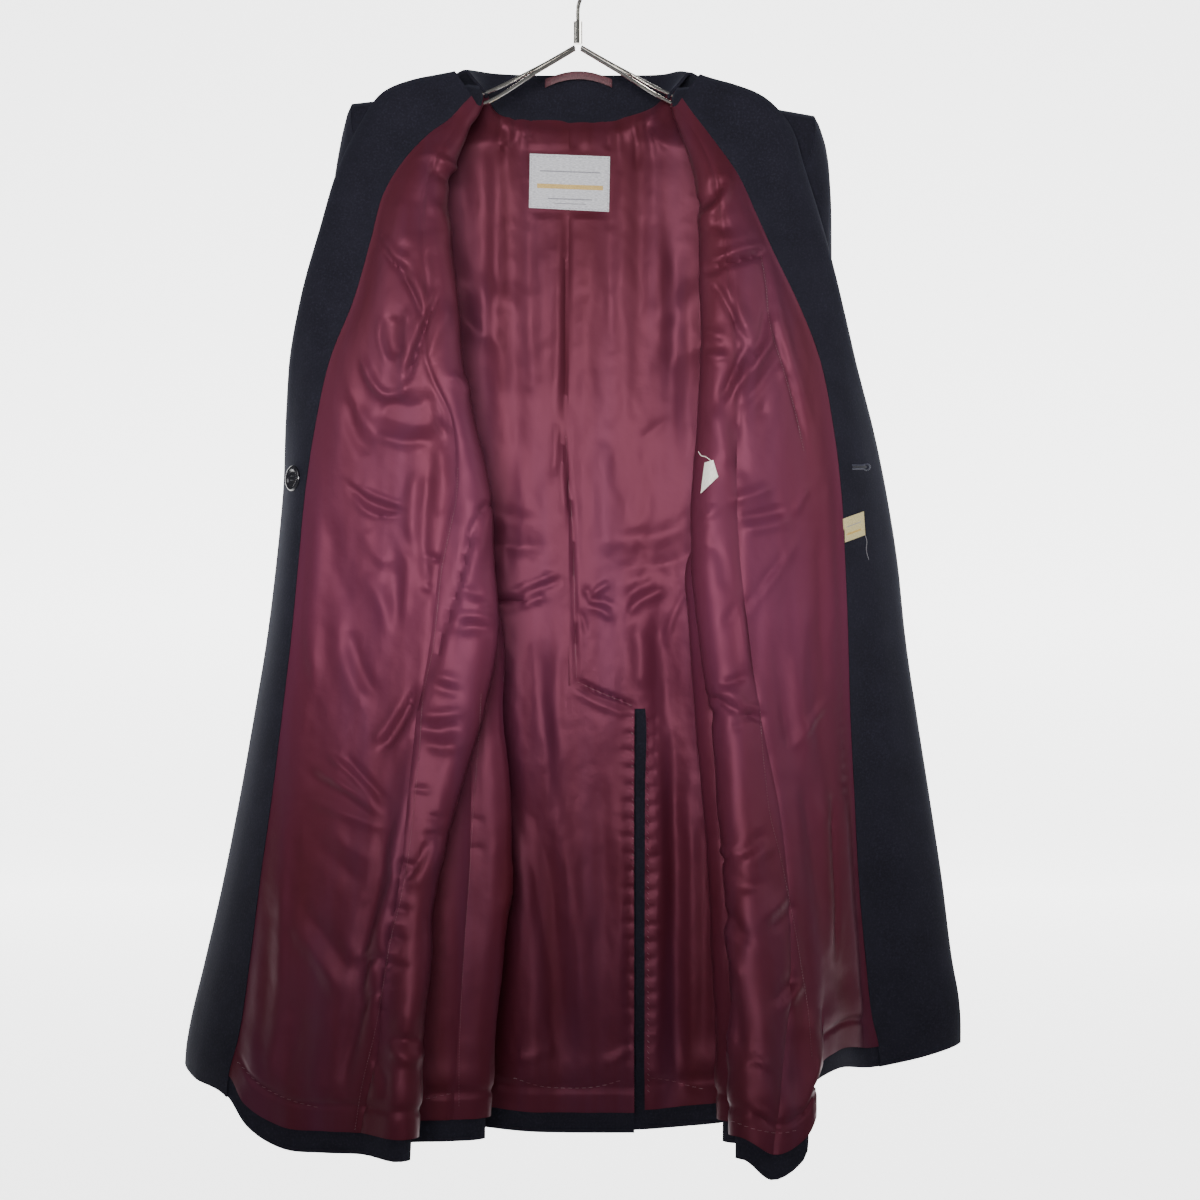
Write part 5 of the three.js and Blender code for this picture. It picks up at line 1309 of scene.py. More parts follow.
def tube(name, rings, inner, outer, flat_start, material, folds):
    """A closed tube wall through fine rings, open at both ends."""
    count = rings.shape[1]
    ring_after = np.roll(rings, -1, axis=1)
    down = rings[1:] + ring_after[1:] - rings[:-1] - ring_after[:-1]
    around = ring_after[:-1] + ring_after[1:] - rings[:-1] - rings[1:]
    flat = unit(np.cross(down, around))
    middle = rings.mean(axis=1, keepdims=True)
    away = (rings[:-1] + ring_after[1:]) / 2 - (middle[:-1] + middle[1:]) / 2
    flat *= np.sign((flat * away).sum())
    normals = np.zeros(rings.shape)
    normals[:-1] += flat
    normals[1:] += flat
    normals[:-1] += np.roll(flat, 1, axis=1)
    normals[1:] += np.roll(flat, 1, axis=1)
    normals[0, flat_start, 0] = 0
    normals = unit(normals)
    height = crease_heights(np.abs(rings[..., 0]), rings[..., 2], folds)
    height += SLEEVE_RIPPLE * ripple(rings[..., 0] + rings[..., 1], rings[..., 2], SLEEVE_WAVES, SLEEVE_SEED)
    calm = np.clip(np.arange(len(rings)) / CALM_RINGS, 0, 1)[:, None] ** 2
    shaped = rings + normals * (height * calm)[..., None]
    points = np.concatenate([(shaped + normals * offset).reshape(-1, 3) for offset in (outer, inner)])
    total = rings.shape[0] * count
    faces = []
    for a, b, c, d in ring_walls(len(rings) - 1, count, flip=True):
        faces += [(a, b, c, d), (d + total, c + total, b + total, a + total)]
    last = (len(rings) - 1) * count
    for n in range(count):
        m = (n + 1) % count
        faces += [(n + total, n, m, m + total), (last + n, last + n + total, last + m + total, last + m)]
    a, b, c = (points[index] for index in faces[0][:3])
    if np.dot(np.cross(b - a, c - a), normals[0, 0]) < 0:
        faces = [face[::-1] for face in faces]
    return make_mesh(name, points, faces, material)


for half_name, rows in (("left", SLEEVE_LEFT), ("right", SLEEVE_RIGHT)):
    half_grid = halves[half_name]
    loop = armhole_loop(half_grid)
    rings = [loop]
    for k in range(len(rows["outX"])):
        row = {name: values[k] for name, values in rows.items()}
        rings.append(
            [
                (
                    mix(row["inX"], row["outX"], out),
                    mix(row["frontY"], row["rearY"], rear),
                    mix(row["inZ"], row["outZ"], out),
                )
                for out, rear in oval_shares(loop)
            ]
        )
    rings = np.array(rings, float)
    gaps = np.linalg.norm(np.diff(rings, axis=0), axis=-1).mean(axis=1)
    fine_rings = through(rings, [max(2, int(round(gap / SLEEVE_FINE))) for gap in gaps])
    closed = np.concatenate([fine_rings, fine_rings[:, :1]], axis=1)
    bottom_end = UNDERARM + COLUMN["under"] - COLUMN["side"]
    corners = {0, UNDERARM, bottom_end}
    around_steps = [3 if n < UNDERARM or n > bottom_end else 2 for n in range(len(loop))]
    fine = np.array([through(ring, around_steps, corners) for ring in closed])[:, :-1]
    around_place = places(around_steps)[:-1]
    beside_wall = (around_place <= UNDERARM) | (around_place >= bottom_end)
    sleeve = tube(
        f"sleeve_{half_name}_wool", fine, WOOL_INNER, WOOL_OUTER, beside_wall, melton, SLEEVE_FOLDS
    )
    # All round at its widest ring below the armhole, and down its longest side
    flat, area = ((0.304, 0.66), 0.151) if half_name == "left" else ((0.27, 0.649), 0.132)
    declare_cloth(sleeve, f"sleeve_{half_name}", "wool", flat, area, [f"back_{half_name}_wool"])

# Collar
# A strip of melton on a canvas stand, sewn into the neck, rolled over its stand line and pressed down
# behind. Its inside shows as the dark band above the lining.
COLLAR_HALF, COLLAR_RADIUS, STAND_TUCK = 1.5, 4, 9  # the tuck goes down behind the neck seam
ROLL_SHARE = 0.12  # where the roll's curve begins, before and behind its top
# Each row is a place on the stand's foot, on the roll's top and on the fall's edge
COLLAR = [
    (-91, 1, -135.5, -111, -4, -122, -139, 4, -138),
    (-92, 18, -137, -104, 15, -118.5, -130, 30, -156),
    (-81, 40, -146.2, -85, 44, -114.5, -99, 62, -176),
    (-52, 54, -155.6, -53, 57, -113, -57, 74, -187),
    (-8, 57, -157.2, -8, 60, -112.5, -8, 78, -190),
    (36, 55, -156.4, 37, 58, -113, 41, 76, -188),
    (79, 40, -147.2, 84, 44, -115.5, 98, 62, -179),
    (91, 18, -138, 103, 15, -119, 130, 30, -160),
    (90, 1, -137.5, 110, -4, -124.5, 139, 4, -142),
]
collar_grid = []
for stand_x, stand_y, stand_z, roll_x, roll_y, roll_z, fall_x, fall_y, fall_z in COLLAR:
    stand = place(stand_x, stand_y, stand_z - STAND_TUCK)
    roll, fall = place(roll_x, roll_y, roll_z), place(fall_x, fall_y, fall_z)
    outward = (fall - stand) * (1, 1, 0)
    outward /= np.linalg.norm(outward)
    roll_rear = mix(roll, fall, ROLL_SHARE) + outward * COLLAR_RADIUS
    inside = [stand, mix(stand, roll, 0.5), mix(roll, stand, ROLL_SHARE), roll]
    collar_grid.append(inside + [roll_rear, mix(roll_rear, fall, 0.5), fall])
collar_grid = np.array(collar_grid)
collar_along = through(collar_grid, [8] * (len(COLLAR) - 1))
collar_fine = through(collar_along.swapaxes(0, 1), [4, 4, 2, 2, 5, 5]).swapaxes(0, 1)


def open_sheet(name, points, inner, outer, material, flip=False):
    """A closed wall over a whole grid of points."""
    down = np.gradient(points, axis=0)
    across = np.gradient(points, axis=1)
    normals = unit(np.cross(down, across)) * (-1 if flip else 1)
    grid = {"side": 1 if flip else -1, "points": points, "normals": normals}
    mask = np.ones((points.shape[0] - 1, points.shape[1] - 1), bool)
    return cloth(name, grid, mask, inner, outer, material)


collar_wave = 0.5 * ripple(collar_fine[..., 0], collar_fine[..., 2] * 2, (26, 30), 41)
collar_fine = collar_fine + collar_wave[..., None] * np.array([0, 1, 0])
collar = open_sheet("collar_wool", collar_fine, -COLLAR_HALF, COLLAR_HALF, melton)
declare_cloth(collar, "collar", "wool", (0.368, 0.135), 0.0348, ["back_left_wool", "back_right_wool"])

# Main label
# A pale damask label, woven to shape and sewn by its edges over the centre back's pleat. It carries only
# plain woven rules: whatever a maker would weave into it is left off.
def carrier(*names):
    """What small parts are laid on: the faces of the named pieces."""
    points, faces = [], []
    for name in names:
        piece = bpy.data.objects[name]
        start = len(points)
        points += [vertex.co * 1000 for vertex in piece.data.vertices]
        faces += [[start + n for n in polygon.vertices] for polygon in piece.data.polygons]
    return BVHTree.FromPolygons(points, faces)


def on_pixel(tree, across, down, lift=0.0):
    """The place and normal where the camera's ray through a pixel of the photograph meets the cloth."""
    eye = Vector(CAMERA_PLACE)
    ray = Vector(
        (
            (across - IMAGE_MIDDLE) / PIXELS_PER_MM,
            -CAMERA_PLACE[1],
            -(down - IMAGE_MIDDLE) / PIXELS_PER_MM,
        )
    ).normalized()
    hit, normal = tree.ray_cast(eye, ray)[:2]
    if hit is None:
        return None, None
    if normal.dot(ray) > 0:
        normal = -normal
    return np.array(hit + normal * lift), np.array(normal)


def woven_material(name, per_metre, detail, shades, strength, depth, finish):
    """Ribs or floats in two shades; per_metre is how many there are along u and v of the flat cloth."""
    material = new_material(name)
    cloth_place = add_node(material, "ShaderNodeTexCoord").outputs["UV"]
    scale = {"operation": "MULTIPLY", 1: (*per_metre, 1.0)}
    scaled = add_node(material, "ShaderNodeVectorMath", scale, {0: cloth_place}).outputs["Vector"]
    weave = add_node(material, "ShaderNodeTexNoise", {"Scale": 1.0, "Detail": detail}, {"Vector": scaled})
    dark, light = shades
    stops = {"stops": [(0.3, dark), (0.7, light)]}
    colour = add_node(material, "ShaderNodeValToRGB", stops, {"Fac": weave.outputs["Fac"]})
    relief = {"Strength": strength, "Distance": depth}
    bump = add_node(material, "ShaderNodeBump", relief, {"Height": weave.outputs["Fac"]})
    links = {"Base Color": colour.outputs["Color"], "Normal": bump.outputs["Normal"]}
    shader = add_node(material, "ShaderNodeBsdfPrincipled", finish, links)
    add_node(material, "ShaderNodeOutputMaterial", links={"Surface": shader.outputs[0]})
    return material


# A dry white cloth with fine cross ribs 0.9 mm apart, drawn coarser than the real 0.3 mm
damask_finish = {"Roughness": 0.7, "Specular IOR Level": 0.3, "Sheen Weight": 0.15}
damask = woven_material(
    "woven damask label", (300.0, 1100.0), 2.0, ("#a9a8ae", "#d6d5d9"), 0.4, 0.0003, damask_finish
)
back_lining = carrier("lining_back_left_satin", "lining_back_right_satin")
LABEL_CORNERS = [(530, 154), (610, 157), (609, 212), (529, 208)]


def laid_grid(tree, corners, across_count, down_count, lift):
    """A grid of places inside four pixels (clockwise from top left), laid on what is under them."""
    a, b, c, d = (np.array(corner, float) for corner in corners)
    grid = []
    for v in np.linspace(0, 1, down_count):
        row = []
        for u in np.linspace(0, 1, across_count):
            across, down = mix(mix(a, b, u), mix(d, c, u), v)
            point, _ = on_pixel(tree, across, down)
            row.append(point - place(0, lift, 0))
        grid.append(row)
    return np.array(grid)


LABEL_LEVEL = 0.65  # how far the label lies level over the pleat, instead of following it
label_grid = laid_grid(back_lining, LABEL_CORNERS, 21, 15, 1.2)
level_y = np.percentile(label_grid[..., 1], 20)
label_grid[..., 1] = label_grid[..., 1] * (1 - LABEL_LEVEL) + level_y * LABEL_LEVEL
main_label = open_sheet("main_label_damask", label_grid, -0.3, 0.5, damask, flip=True)
declare_cloth(main_label, "main_label", "label", (0.082, 0.057), 0.00458, ["lining_back_left_satin"])


def thread_material(name, per_metre, shades, finish):
    """Twisted thread in two shades. Its twist is drawn at about 0.7 mm, coarser than the real 0.2 mm."""
    material = new_material(name)
    thread_place = add_node(material, "ShaderNodeTexCoord").outputs["Object"]
    twist = add_node(material, "ShaderNodeTexNoise", {"Scale": per_metre}, {"Vector": thread_place})
    dark, light = shades
    stops = {"stops": [(0.35, dark), (0.65, light)]}
    colour = add_node(material, "ShaderNodeValToRGB", stops, {"Fac": twist.outputs["Fac"]})
    shader = add_node(material, "ShaderNodeBsdfPrincipled", finish, {"Base Color": colour.outputs["Color"]})
    add_node(material, "ShaderNodeOutputMaterial", links={"Surface": shader.outputs[0]})
    return material


# A low gloss like silk on the coloured rules; the grey ones are matt, so they stay quiet
dyed_thread = thread_material(
    "mercerised label thread", 1400.0, ("#a88538", "#c9a654"), {"Roughness": 0.5, "Sheen Weight": 0.1}
)
grey_thread = thread_material("grey cotton thread", 1400.0, ("#77767c", "#9a999f"), {"Roughness": 0.8})
label_face = carrier("main_label_damask")
LABEL_SLOPE, LABEL_MIDDLE = 0.037, 570  # the label hangs askew by this much, about this pixel
for rule_name, material, left, right, top, bottom in (
    ("upper_rule", grey_thread, 540, 600, 171.2, 172.4),
    ("middle_rule", dyed_thread, 537, 603, 184.6, 189.2),
    ("lower_rule", grey_thread, 548, 592, 198.6, 199.8),
    ("base_rule", grey_thread, 554, 586, 203.4, 204.2),
):
    square = ((left, top), (right, top), (right, bottom), (left, bottom))
    corners = [(x, y + LABEL_SLOPE * (x - LABEL_MIDDLE)) for x, y in square]
    rule_grid = laid_grid(label_face, corners, 17, 3, 0.1)
    rule = open_sheet("label_" + rule_name, rule_grid, -0.05, 0.12, material, True)
    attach(rule, "root")

# Hanging loop
# A narrow burgundy braid, its two ends turned under and tacked to the collar's stand. It is a ribbed tape
# with a dull shine, and its chevrons are about 1.5 mm long.
braid_finish = {"Roughness": 0.6, "Sheen Weight": 0.08, "Sheen Tint": "#c07a86"}
braid = woven_material(
    "woven rayon braid", (420.0, 700.0), 1.0, ("#3c161f", "#5a2630"), 0.5, 0.0004, braid_finish
)
LOOP = {"half": 34, "width": 8, "ends": -121, "rise": 8, "bulge": 4, "stand_y": 55.5}
END_THICK, END_PLACE, END_LONG = 1.6, 0.93, 0.06  # the ends are thicker, where they turn under
loop_grid = []
for u in np.linspace(-1, 1, 41):
    arch = 1 - u * u
    z = LOOP["ends"] + LOOP["rise"] * arch
    y = LOOP["stand_y"] - 0.9 * u * u - LOOP["bulge"] * arch
    turned = END_THICK * math.exp(-(((abs(u) - END_PLACE) / END_LONG) ** 2))
    loop_grid.append(
        [
            place(LOOP["half"] * u, y - turned - 0.35 * math.sin(math.pi * v), z + LOOP["width"] * (v - 0.5))
            for v in np.linspace(0, 1, 7)
        ]
    )
hanging_loop = open_sheet("hanging_loop_braid", np.array(loop_grid), -0.6, 0.6, braid)
declare_cloth(hanging_loop, "hanging_loop", "loop_braid", (0.01, 0.072), 0.00056, ["collar_wool"])

# Small label on the right facing
# A cream taffeta label sewn flat to the facing, with one loose thread end. It carries two plain rules.
# It is dry and slightly yellowed, and its weave is drawn at about 1 mm, coarser than the real 0.2 mm.
taffeta = woven_material(
    "cream taffeta label", (1100.0, 700.0), 2.0, ("#a89a6c", "#cfc190"), 0.4, 0.0003,
    {"Roughness": 0.75, "Specular IOR Level": 0.3},
)
right_facing = carrier("facing_right_wool", "front_right_wool")
SMALL_CORNERS = [(842.5, 519), (863.5, 511.5), (865, 535), (843.5, 543)]
SMALL_SLOPE, SMALL_MIDDLE = -0.37, 854
small_grid = laid_grid(right_facing, SMALL_CORNERS, 9, 9, 1.0)
small_label = open_sheet("small_label_taffeta", small_grid, -0.3, 0.4, taffeta, flip=True)
declare_cloth(small_label, "small_label", "cream_label", (0.029, 0.024), 0.00065, ["facing_right_wool"])
small_face = carrier("small_label_taffeta")
for rule_name, material, top, bottom in (
    ("upper", grey_thread, 524, 524.8),
    ("lower", dyed_thread, 531, 533),
):
    square = ((847, top), (861, top), (861, bottom), (847, bottom))
    corners = [(x, y + SMALL_SLOPE * (x - SMALL_MIDDLE)) for x, y in square]
    rule_grid = laid_grid(small_face, corners, 9, 3, 0.1)
    rule = open_sheet("small_label_" + rule_name + "_rule", rule_grid, -0.05, 0.1, material, True)
    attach(rule, "root")


THREAD_SIDES, THREAD_TAPER = 6, 0.4


def thread_run(name, path, radius, material):
    """A round thread along a path of places, with tapered ends."""
    path = np.asarray(path, float)
    tangents = unit(np.gradient(path, axis=0))
    normals = unit(np.cross(tangents, (0.3, 0.9, 0.2)))
    others = np.cross(tangents, normals)
    sizes = np.full(len(path), radius)
    sizes[[0, -1]] = radius * THREAD_TAPER
    points = []
    for point, a, b, size in zip(path, normals, others, sizes):
        for n in range(THREAD_SIDES):
            turn = 2 * math.pi * n / THREAD_SIDES
            points.append(point + size * (a * math.cos(turn) + b * math.sin(turn)))
    last = (len(path) - 1) * THREAD_SIDES
    faces = ring_walls(len(path) - 1, THREAD_SIDES)
    faces += [tuple(range(THREAD_SIDES))[::-1], tuple(range(last, last + THREAD_SIDES))]
    return make_mesh(name, points, faces, material)


def on_cloth_path(tree, pixels, steps, lift):
    line = through(np.array(pixels, float), [steps] * (len(pixels) - 1))
    spots = [on_pixel(tree, x, y, lift)[0] for x, y in line]
    return np.array([spot for spot in spots if spot is not None])


loose_thread = thread_run(
    "small_label_thread",
    on_cloth_path(right_facing, [(864.5, 534), (866.5, 541), (866, 550), (868.5, 560)], 5, 0.5),
    0.22,
    grey_thread,
)
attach(loose_thread, "root")

# Care label
# A short strip of white satin tape, slightly rolled, that hangs on a loose white thread. It is smooth and
# cool, with a soft shine; its weave is drawn coarser than the real one.
tape = woven_material(
    "white polyester tape", (900.0, 300.0), 2.0, ("#cfcbbe", "#e9e6dc"), 0.3, 0.0003,
    {"Roughness": 0.45, "Sheen Weight": 0.1},
)
TAPE_ROLL = 0.8
right_lining = carrier("lining_side_right_satin", "lining_front_right_satin")
TAPE_CORNERS = [(704.7, 463), (713, 460), (718, 477), (700.6, 493.6)]
tape_grid = laid_grid(right_lining, TAPE_CORNERS, 9, 11, 2.0)
tape_grid[..., 1] -= TAPE_ROLL * np.sin(np.linspace(0, math.pi, 9))[None, :]
care_label = open_sheet("care_label_tape", tape_grid, -0.4, 0.4, tape, flip=True)
declare_cloth(care_label, "care_label", "label", (0.024, 0.03), 0.00032, ["lining_front_right_satin"])
care_thread = thread_run(
    "care_label_thread",
    on_cloth_path(right_lining, [(699, 451.5), (702, 456), (706, 457), (711.5, 461)], 5, 1.2),
    0.4,
    tape,
)
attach(care_thread, "root")

# Button, on the left front
# A polished horn button with a turned rim and four holes, sewn with black thread on a wound shank. It
# doesn't move by itself: it is held on its shank, and only the other front's buttonhole would take it.
horn = new_material("polished buffalo horn")  # near black, with brown streaks of about 6 mm, clear gloss
horn_place = add_node(horn, "ShaderNodeTexCoord").outputs["Object"]
horn_noise = {"Scale": 160.0, "Detail": 4.0, "Distortion": 1.5}
streaks = add_node(horn, "ShaderNodeTexNoise", horn_noise, {"Vector": horn_place}).outputs["Fac"]
horn_bump = add_node(horn, "ShaderNodeBump", {"Strength": 0.08, "Distance": 0.0002}, {"Height": streaks})
horn_colour = add_node(
    horn,
    "ShaderNodeValToRGB",
    {"stops": [(0.35, "#0b0b10"), (0.6, "#1c1b22"), (0.75, "#3a342f")]},
    {"Fac": streaks},
)
horn_shader = add_node(
    horn,
    "ShaderNodeBsdfPrincipled",
    {"Roughness": 0.22, "IOR": 1.55, "Coat Weight": 0.4, "Coat Roughness": 0.08},
    {"Base Color": horn_colour.outputs["Color"], "Normal": horn_bump.outputs["Normal"]},
)
add_node(horn, "ShaderNodeOutputMaterial", links={"Surface": horn_shader.outputs[0]})
# A slight gloss on each twist
black_thread = thread_material(
    "black polyester thread", 1500.0, ("#0c0c12", "#24242e"), {"Roughness": 0.6, "Sheen Weight": 0.2}
)
BUTTON_THICK, HOLE_RADIUS, HOLE_OUT = 3.0, 1.3, 3.0
HOLE_SIDE = HOLE_OUT / math.sqrt(2)  # the four holes stand in a square
shank_box = np.array(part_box("button_shank")) * 1000
button_box = np.array(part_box("button")) * 1000
shank_middle, button_middle = shank_box.mean(axis=0), button_box.mean(axis=0)
button_out = unit(button_middle - shank_middle)
button_right = unit(np.cross(button_out, (0, 0, 1)))
button_up = np.cross(button_right, button_out)
# Height of the turned face at each radius, from the back of the button
BUTTON_PROFILE = [
    (0, 1.55), (1.5, 1.5), (4.6, 1.45), (6.4, 1.5), (7.4, 1.9), (8.4, 2.55), (9.6, 2.95), (10.9, 2.95),
    (12.0, 2.5), (12.7, 1.75), (12.8, 1.3), (12.5, 0.75), (11.6, 0.3), (9.0, 0.05), (5.0, 0.0), (0, 0.0),
]
ROUND, HOLE_ROUND = 48, 16  # corners round the button and round a hole


def button_place(x, y, height):
    return button_middle + button_right * x + button_up * y + button_out * (height - BUTTON_THICK / 2)


lathe = np.array(BUTTON_PROFILE, float)
profile_fine = through(lathe[:, None, :], [2] * (len(lathe) - 1), {8})[:, 0]
profile_fine[:, 0] = np.maximum(profile_fine[:, 0], 0)
points, faces = [], []
for radius, height in profile_fine[1:-1]:
    for n in range(ROUND):
        turn = 2 * math.pi * n / ROUND
        points.append(button_place(radius * math.cos(turn), radius * math.sin(turn), height))
rings_count = len(profile_fine) - 2
faces = ring_walls(rings_count - 1, ROUND, flip=True)
points += [button_place(0, 0, lathe[0, 1]), button_place(0, 0, 0)]
top_middle, low_middle = len(points) - 2, len(points) - 1
for n in range(ROUND):
    m = (n + 1) % ROUND
    faces.append((top_middle, n, m))
    faces.append((low_middle, (rings_count - 1) * ROUND + m, (rings_count - 1) * ROUND + n))
button = make_mesh("button_horn", points, faces, horn, sharp=40)
hole_cutters = []
for x, y in ((1, 1), (-1, 1), (-1, -1), (1, -1)):
    cut_points = []
    for height in (-1.0, 4.0):
        for n in range(HOLE_ROUND):
            turn = 2 * math.pi * n / HOLE_ROUND
            cut_x = x * HOLE_SIDE + HOLE_RADIUS * math.cos(turn)
            cut_y = y * HOLE_SIDE + HOLE_RADIUS * math.sin(turn)
            cut_points.append(button_place(cut_x, cut_y, height))
    cut_faces = ring_walls(1, HOLE_ROUND)
    cut_faces += [tuple(range(HOLE_ROUND))[::-1], tuple(range(HOLE_ROUND, 2 * HOLE_ROUND))]
    cutter = make_mesh(f"hole_cutter_{len(hole_cutters)}", cut_points, cut_faces, horn, smooth=False)
    hole_cutters.append(cutter)
    cut = button.modifiers.new("hole", "BOOLEAN")
    cut.operation, cut.solver, cut.object = "DIFFERENCE", "EXACT", cutter
bpy.context.view_layer.update()
drilled = bpy.data.meshes.new_from_object(button.evaluated_get(bpy.context.evaluated_depsgraph_get()))
button.modifiers.clear()
button.data = drilled
for cutter in hole_cutters:
    bpy.data.objects.remove(cutter, do_unlink=True)
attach(button, "root")
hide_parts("button")

# Thread: two bars across the face, and a wound shank
BAR_HEIGHT, BAR_ARCH, BAR_RADIUS = 1.5, 0.75, 0.55
SHANK_TURNS, SHANK_RADIUS, SHANK_WAIST, SHANK_THREAD = 7, 1.75, 0.25, 0.42
SHANK_START, SHANK_LONG = -1.0, 2.4
sewing = []
for y in (1, -1):
    path = []
    for t in np.linspace(0, 1, 9):
        bar_height = BAR_HEIGHT + BAR_ARCH * math.sin(math.pi * t) ** 0.5
        path.append(button_place(mix(HOLE_SIDE, -HOLE_SIDE, t), y * HOLE_SIDE, bar_height))
    bar_name = f"button_thread_{'upper' if y > 0 else 'lower'}"
    sewing.append(thread_run(bar_name, path, BAR_RADIUS, black_thread))
shank_path = []
for t in np.linspace(0, 1, 120):
    turn = t * 2 * math.pi * SHANK_TURNS
    reach = SHANK_RADIUS - SHANK_WAIST * math.sin(math.pi * t)
    spot = shank_middle + button_out * (SHANK_START + SHANK_LONG * t)
    shank_path.append(spot + reach * (button_right * math.cos(turn) + button_up * math.sin(turn)))
shank = thread_run("button_shank_thread", shank_path, SHANK_THREAD, black_thread)
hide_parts("button_shank")
for piece in (*sewing, shank):
    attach(piece, "root")

# Buttonhole, on the right front
# A worked buttonhole: a cut slit with a round eye at its outer end, edged all round with close purl
# stitches of silk twist.
# Each stitch of the twist catches a small light
silk_finish = {"Roughness": 0.45, "Sheen Weight": 0.3, "Sheen Tint": "#8a90a8"}
silk_twist = thread_material("navy silk twist", 1200.0, ("#1d1d2a", "#3b3c4c"), silk_finish)
BEAD_SIDES, BEAD_ARCH = 5, 0.5
BEAD_SIZES = ((0.0, 0.35), (0.25, 1.0), (0.75, 1.0), (1.0, 0.35))  # how thick a stitch is along its length


def bead(start, end, out, radius):
    """A short raised stitch from one place to another: points and faces to add to a mesh."""
    run = end - start
    long = np.linalg.norm(run)
    run = run / max(long, 1e-6)
    wide = unit(np.cross(run, out))
    points = []
    for t, size in BEAD_SIZES:
        middle = start + run * long * t + out * radius * BEAD_ARCH * (1 if 0 < t < 1 else 0)
        for n in range(BEAD_SIDES):
            turn = 2 * math.pi * n / BEAD_SIDES
            points.append(middle + radius * size * (wide * math.cos(turn) + out * math.sin(turn)))
    return points, ring_walls(3, BEAD_SIDES) + [(4, 3, 2, 1, 0), (15, 16, 17, 18, 19)]


def sewn(name, beads, material):
    points, faces = [], []
    for bead_points, bead_faces in beads:
        start = len(points)
        points += bead_points
        faces += [tuple(start + n for n in face) for face in bead_faces]
    piece = make_mesh(name, points, faces, material)
    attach(piece, "root")
    return piece


HOLE_EYE, HOLE_END, HOLE_DOWN = 866.5, 852.0, 467.0  # in pixels: the eye's x, the far end's x, and y
SLIT_HALF, EYE_RADIUS, EYE_NECK = 0.9, 2.2, 2.5
PURL_PITCH, PURL_LONG, PURL_RADIUS, PURL_LIFT = 0.62, 1.9, 0.36, 0.25
outline = [(HOLE_END, HOLE_DOWN - SLIT_HALF), (HOLE_EYE - EYE_NECK, HOLE_DOWN - SLIT_HALF)]
for degrees in range(-140, 141, 28):
    turn = math.radians(degrees)
    outline.append((HOLE_EYE + EYE_RADIUS * math.cos(turn), HOLE_DOWN + EYE_RADIUS * math.sin(turn)))
outline += [(HOLE_EYE - EYE_NECK, HOLE_DOWN + SLIT_HALF), (HOLE_END, HOLE_DOWN + SLIT_HALF)]
worked = []
for (x0, y0), (x1, y1) in zip(outline, outline[1:]):
    span = math.hypot(x1 - x0, y1 - y0)
    for s in np.arange(0, span, PURL_PITCH):
        x, y = x0 + (x1 - x0) * s / span, y0 + (y1 - y0) * s / span
        side_x, side_y = (y1 - y0) / span, -(x1 - x0) / span
        start, normal = on_pixel(right_facing, x, y, PURL_LIFT)
        end, _ = on_pixel(right_facing, x + side_x * PURL_LONG, y + side_y * PURL_LONG, PURL_LIFT)
        worked.append(bead(start, end, normal, PURL_RADIUS))
sewn("buttonhole_stitches", worked, silk_twist)
# A thin black sheet laid over the slit is painted shadow: it stands for the dark of the cut's opening
slit_corners = [
    (HOLE_END + 0.5, HOLE_DOWN - 0.7),
    (HOLE_EYE, HOLE_DOWN - 1.1),
    (HOLE_EYE, HOLE_DOWN + 1.1),
    (HOLE_END + 0.5, HOLE_DOWN + 0.7),
]
slit_shadow_grid = laid_grid(right_facing, slit_corners, 9, 4, 0.12)
slit = open_sheet("buttonhole_slit_shadow", slit_shadow_grid, -0.05, 0.05, black_thread, flip=True)
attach(slit, "root")

# Stitching
# Machine stitches along the lining's seams, hand felling along the vent's top and slit and the hem, pick
# stitches round the main label, and the loop's tacks. Thread is drawn at 0.5 mm, the real one is 0.25 mm.
# It is a little lighter than the satin it holds.
burgundy_thread = thread_material(
    "burgundy polyester thread", 1500.0, ("#3d1420", "#6a2b3c"), {"Roughness": 0.5, "Sheen Weight": 0.2}
)
whole_lining = carrier(
    *[f"lining_{part}_{name}_satin" for part in ("back", "side", "front") for name in ("left", "right")]
)


STITCH_LIFT = 0.1


def stitch_line(tree, pixels, pitch, share, radius, slant=0.0):
    """Stitches down a line of pixels: share of each pitch is thread, and slant turns felling stitches."""
    line = np.array(pixels, float)
    if len(line) > 2:
        line = through(line, [8] * (len(line) - 1))
    lengths = np.concatenate([[0], np.cumsum(np.linalg.norm(np.diff(line, axis=0), axis=1))])
    beads = []
    for start in np.arange(0, lengths[-1] - pitch, pitch):
        ends = []
        for at, turn in ((start, -slant), (start + pitch * share, slant)):
            x, y = np.interp(at, lengths, line[:, 0]), np.interp(at, lengths, line[:, 1])
            ends.append(on_pixel(tree, x + turn, y, STITCH_LIFT))
        (a, normal), (b, _) = ends
        if a is None or b is None or np.linalg.norm(b - a) > 3 * pitch:
            continue
        beads.append(bead(a, b, normal, radius))
    return beads


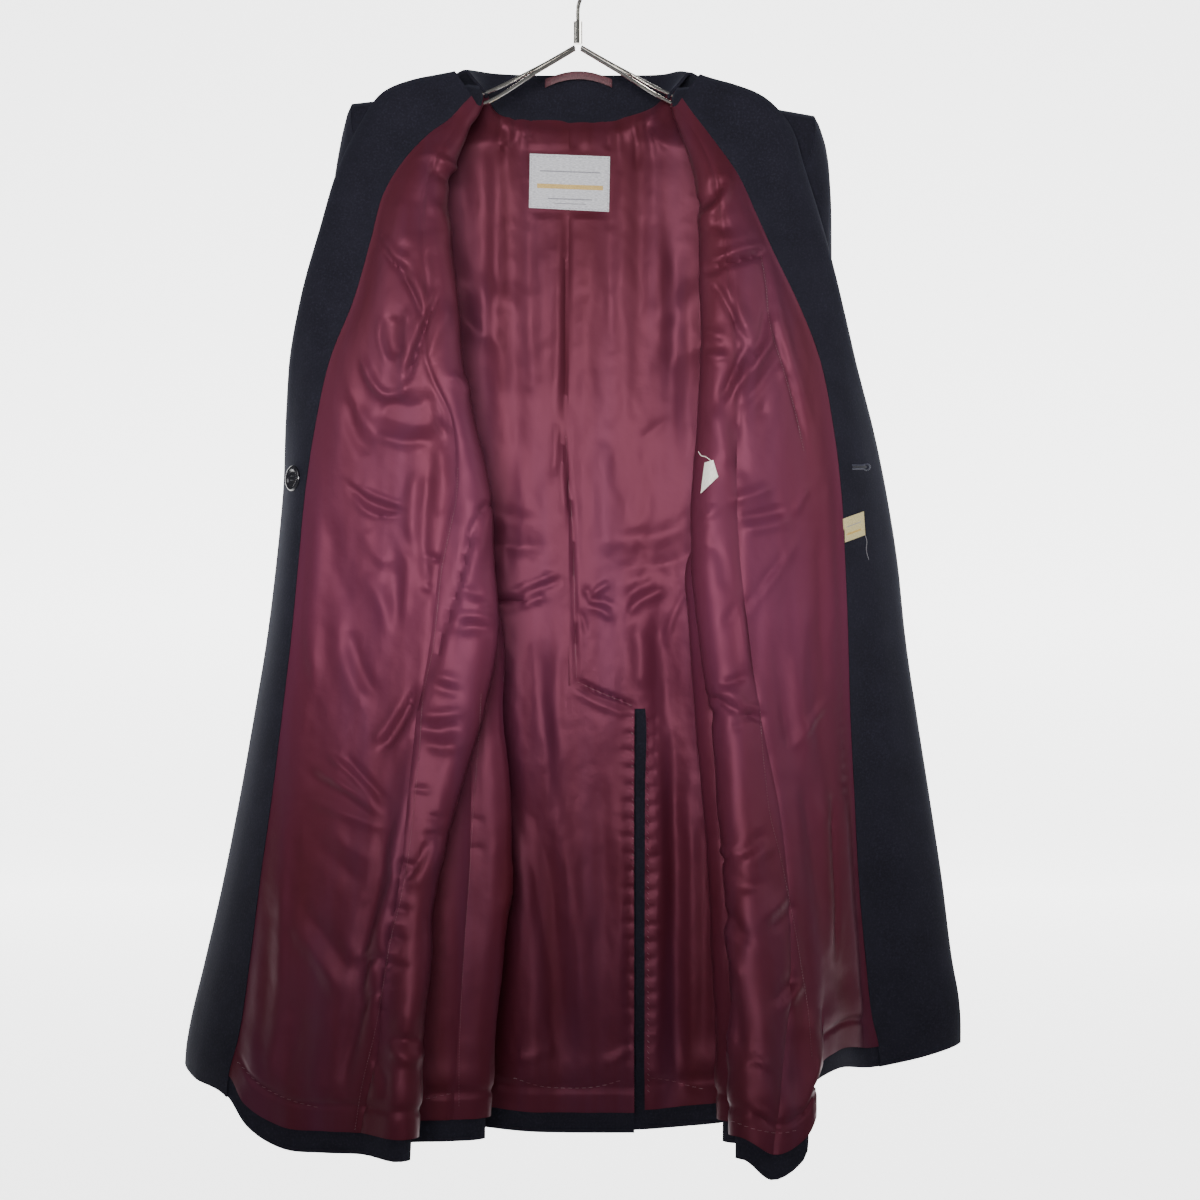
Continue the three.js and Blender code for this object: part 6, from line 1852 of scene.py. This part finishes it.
MACHINE, FELLING = (3.0, 0.72, 0.26), (5.5, 0.4, 0.28)  # pitch, share of it that is thread, thread radius
VENT_FELLING, HEM_FELLING, LABEL_PICKS = (4.0, 0.6, 0.3), (7.0, 0.35, 0.3), (3.2, 0.6, 0.2)
left_strip = [
    (458, 468), (456, 501), (449, 534), (442, 568), (437, 614), (432, 654), (426, 681), (422, 708),
    (420, 743), (416, 788), (408, 859), (399, 907), (392, 934), (382, 993), (374, 1036), (363, 1081),
    (354, 1136),
]
left_side_seam = [
    (481, 694), (479, 735), (476, 775), (473, 815), (470, 867), (466, 920), (462, 987), (459, 1068),
    (459, 1108),
]
right_strip = [
    (760, 711), (762, 743), (765, 775), (770, 815), (780, 855), (788, 894), (796, 934), (801, 966),
    (808, 1010), (812, 1060),
]
right_upper = [(761, 256), (765, 280), (770, 325), (784, 372), (797, 420), (804, 452)]
centre_seam = [(566, 436), (568, 480), (571, 507), (574, 574), (575, 627), (576.5, 680)]
vent_seam = [(578, 682), (600, 692.5), (620, 700.5), (636, 707.5)]
machine = []
for line in (left_strip, left_side_seam, right_strip, right_upper, centre_seam):
    machine += stitch_line(whole_lining, line, *MACHINE)
sewn("lining_machine_stitches", machine, burgundy_thread)
felling = stitch_line(whole_lining, vent_seam, *VENT_FELLING, 0.8)
felling += stitch_line(whole_lining, [(632.5, 716), (633, 900), (634, 1100)], *FELLING, 1.1)
felling += stitch_line(whole_lining, [(647.5, 716), (648, 900), (648.5, 1100)], *FELLING, 1.1)
hem_lines = [
    [(238, 1062), (262, 1086), (288, 1099), (328, 1110)],
    [(514, 1078), (540, 1086), (566, 1088), (600, 1086), (628, 1078)],
    [(652, 1078), (668, 1080), (690, 1086), (708, 1090)],
    [(732, 1121), (758, 1130), (782, 1133), (804, 1128)],
    [(420, 1100), (440, 1096), (456, 1092)],
]
for line in hem_lines:
    felling += stitch_line(whole_lining, line, *HEM_FELLING, 1.0)
sewn("lining_felling_stitches", felling, burgundy_thread)

a, b, c, d = (np.array(corner, float) for corner in LABEL_CORNERS)
inset = 1.6
picked = []
for start, end, push in ((a, b, (0, inset)), (b, c, (-inset, 0)), (c, d, (0, -inset)), (d, a, (inset, 0))):
    picked += stitch_line(label_face, [start + push, end + push], *LABEL_PICKS)
sewn("main_label_stitches", picked, grey_thread)
tacks = []
loop_face = carrier("hanging_loop_braid")
for x, top_y in ((546.5, 81), (549, 81), (608, 82.5), (610.5, 82.5)):
    top, normal = on_pixel(loop_face, x, top_y, STITCH_LIFT)
    low, _ = on_pixel(loop_face, x + 0.4, top_y + 4.5, STITCH_LIFT)
    if top is not None and low is not None:
        tacks.append(bead(top, low, normal, 0.3))
sewn("hanging_loop_tacks", tacks, burgundy_thread)

import json
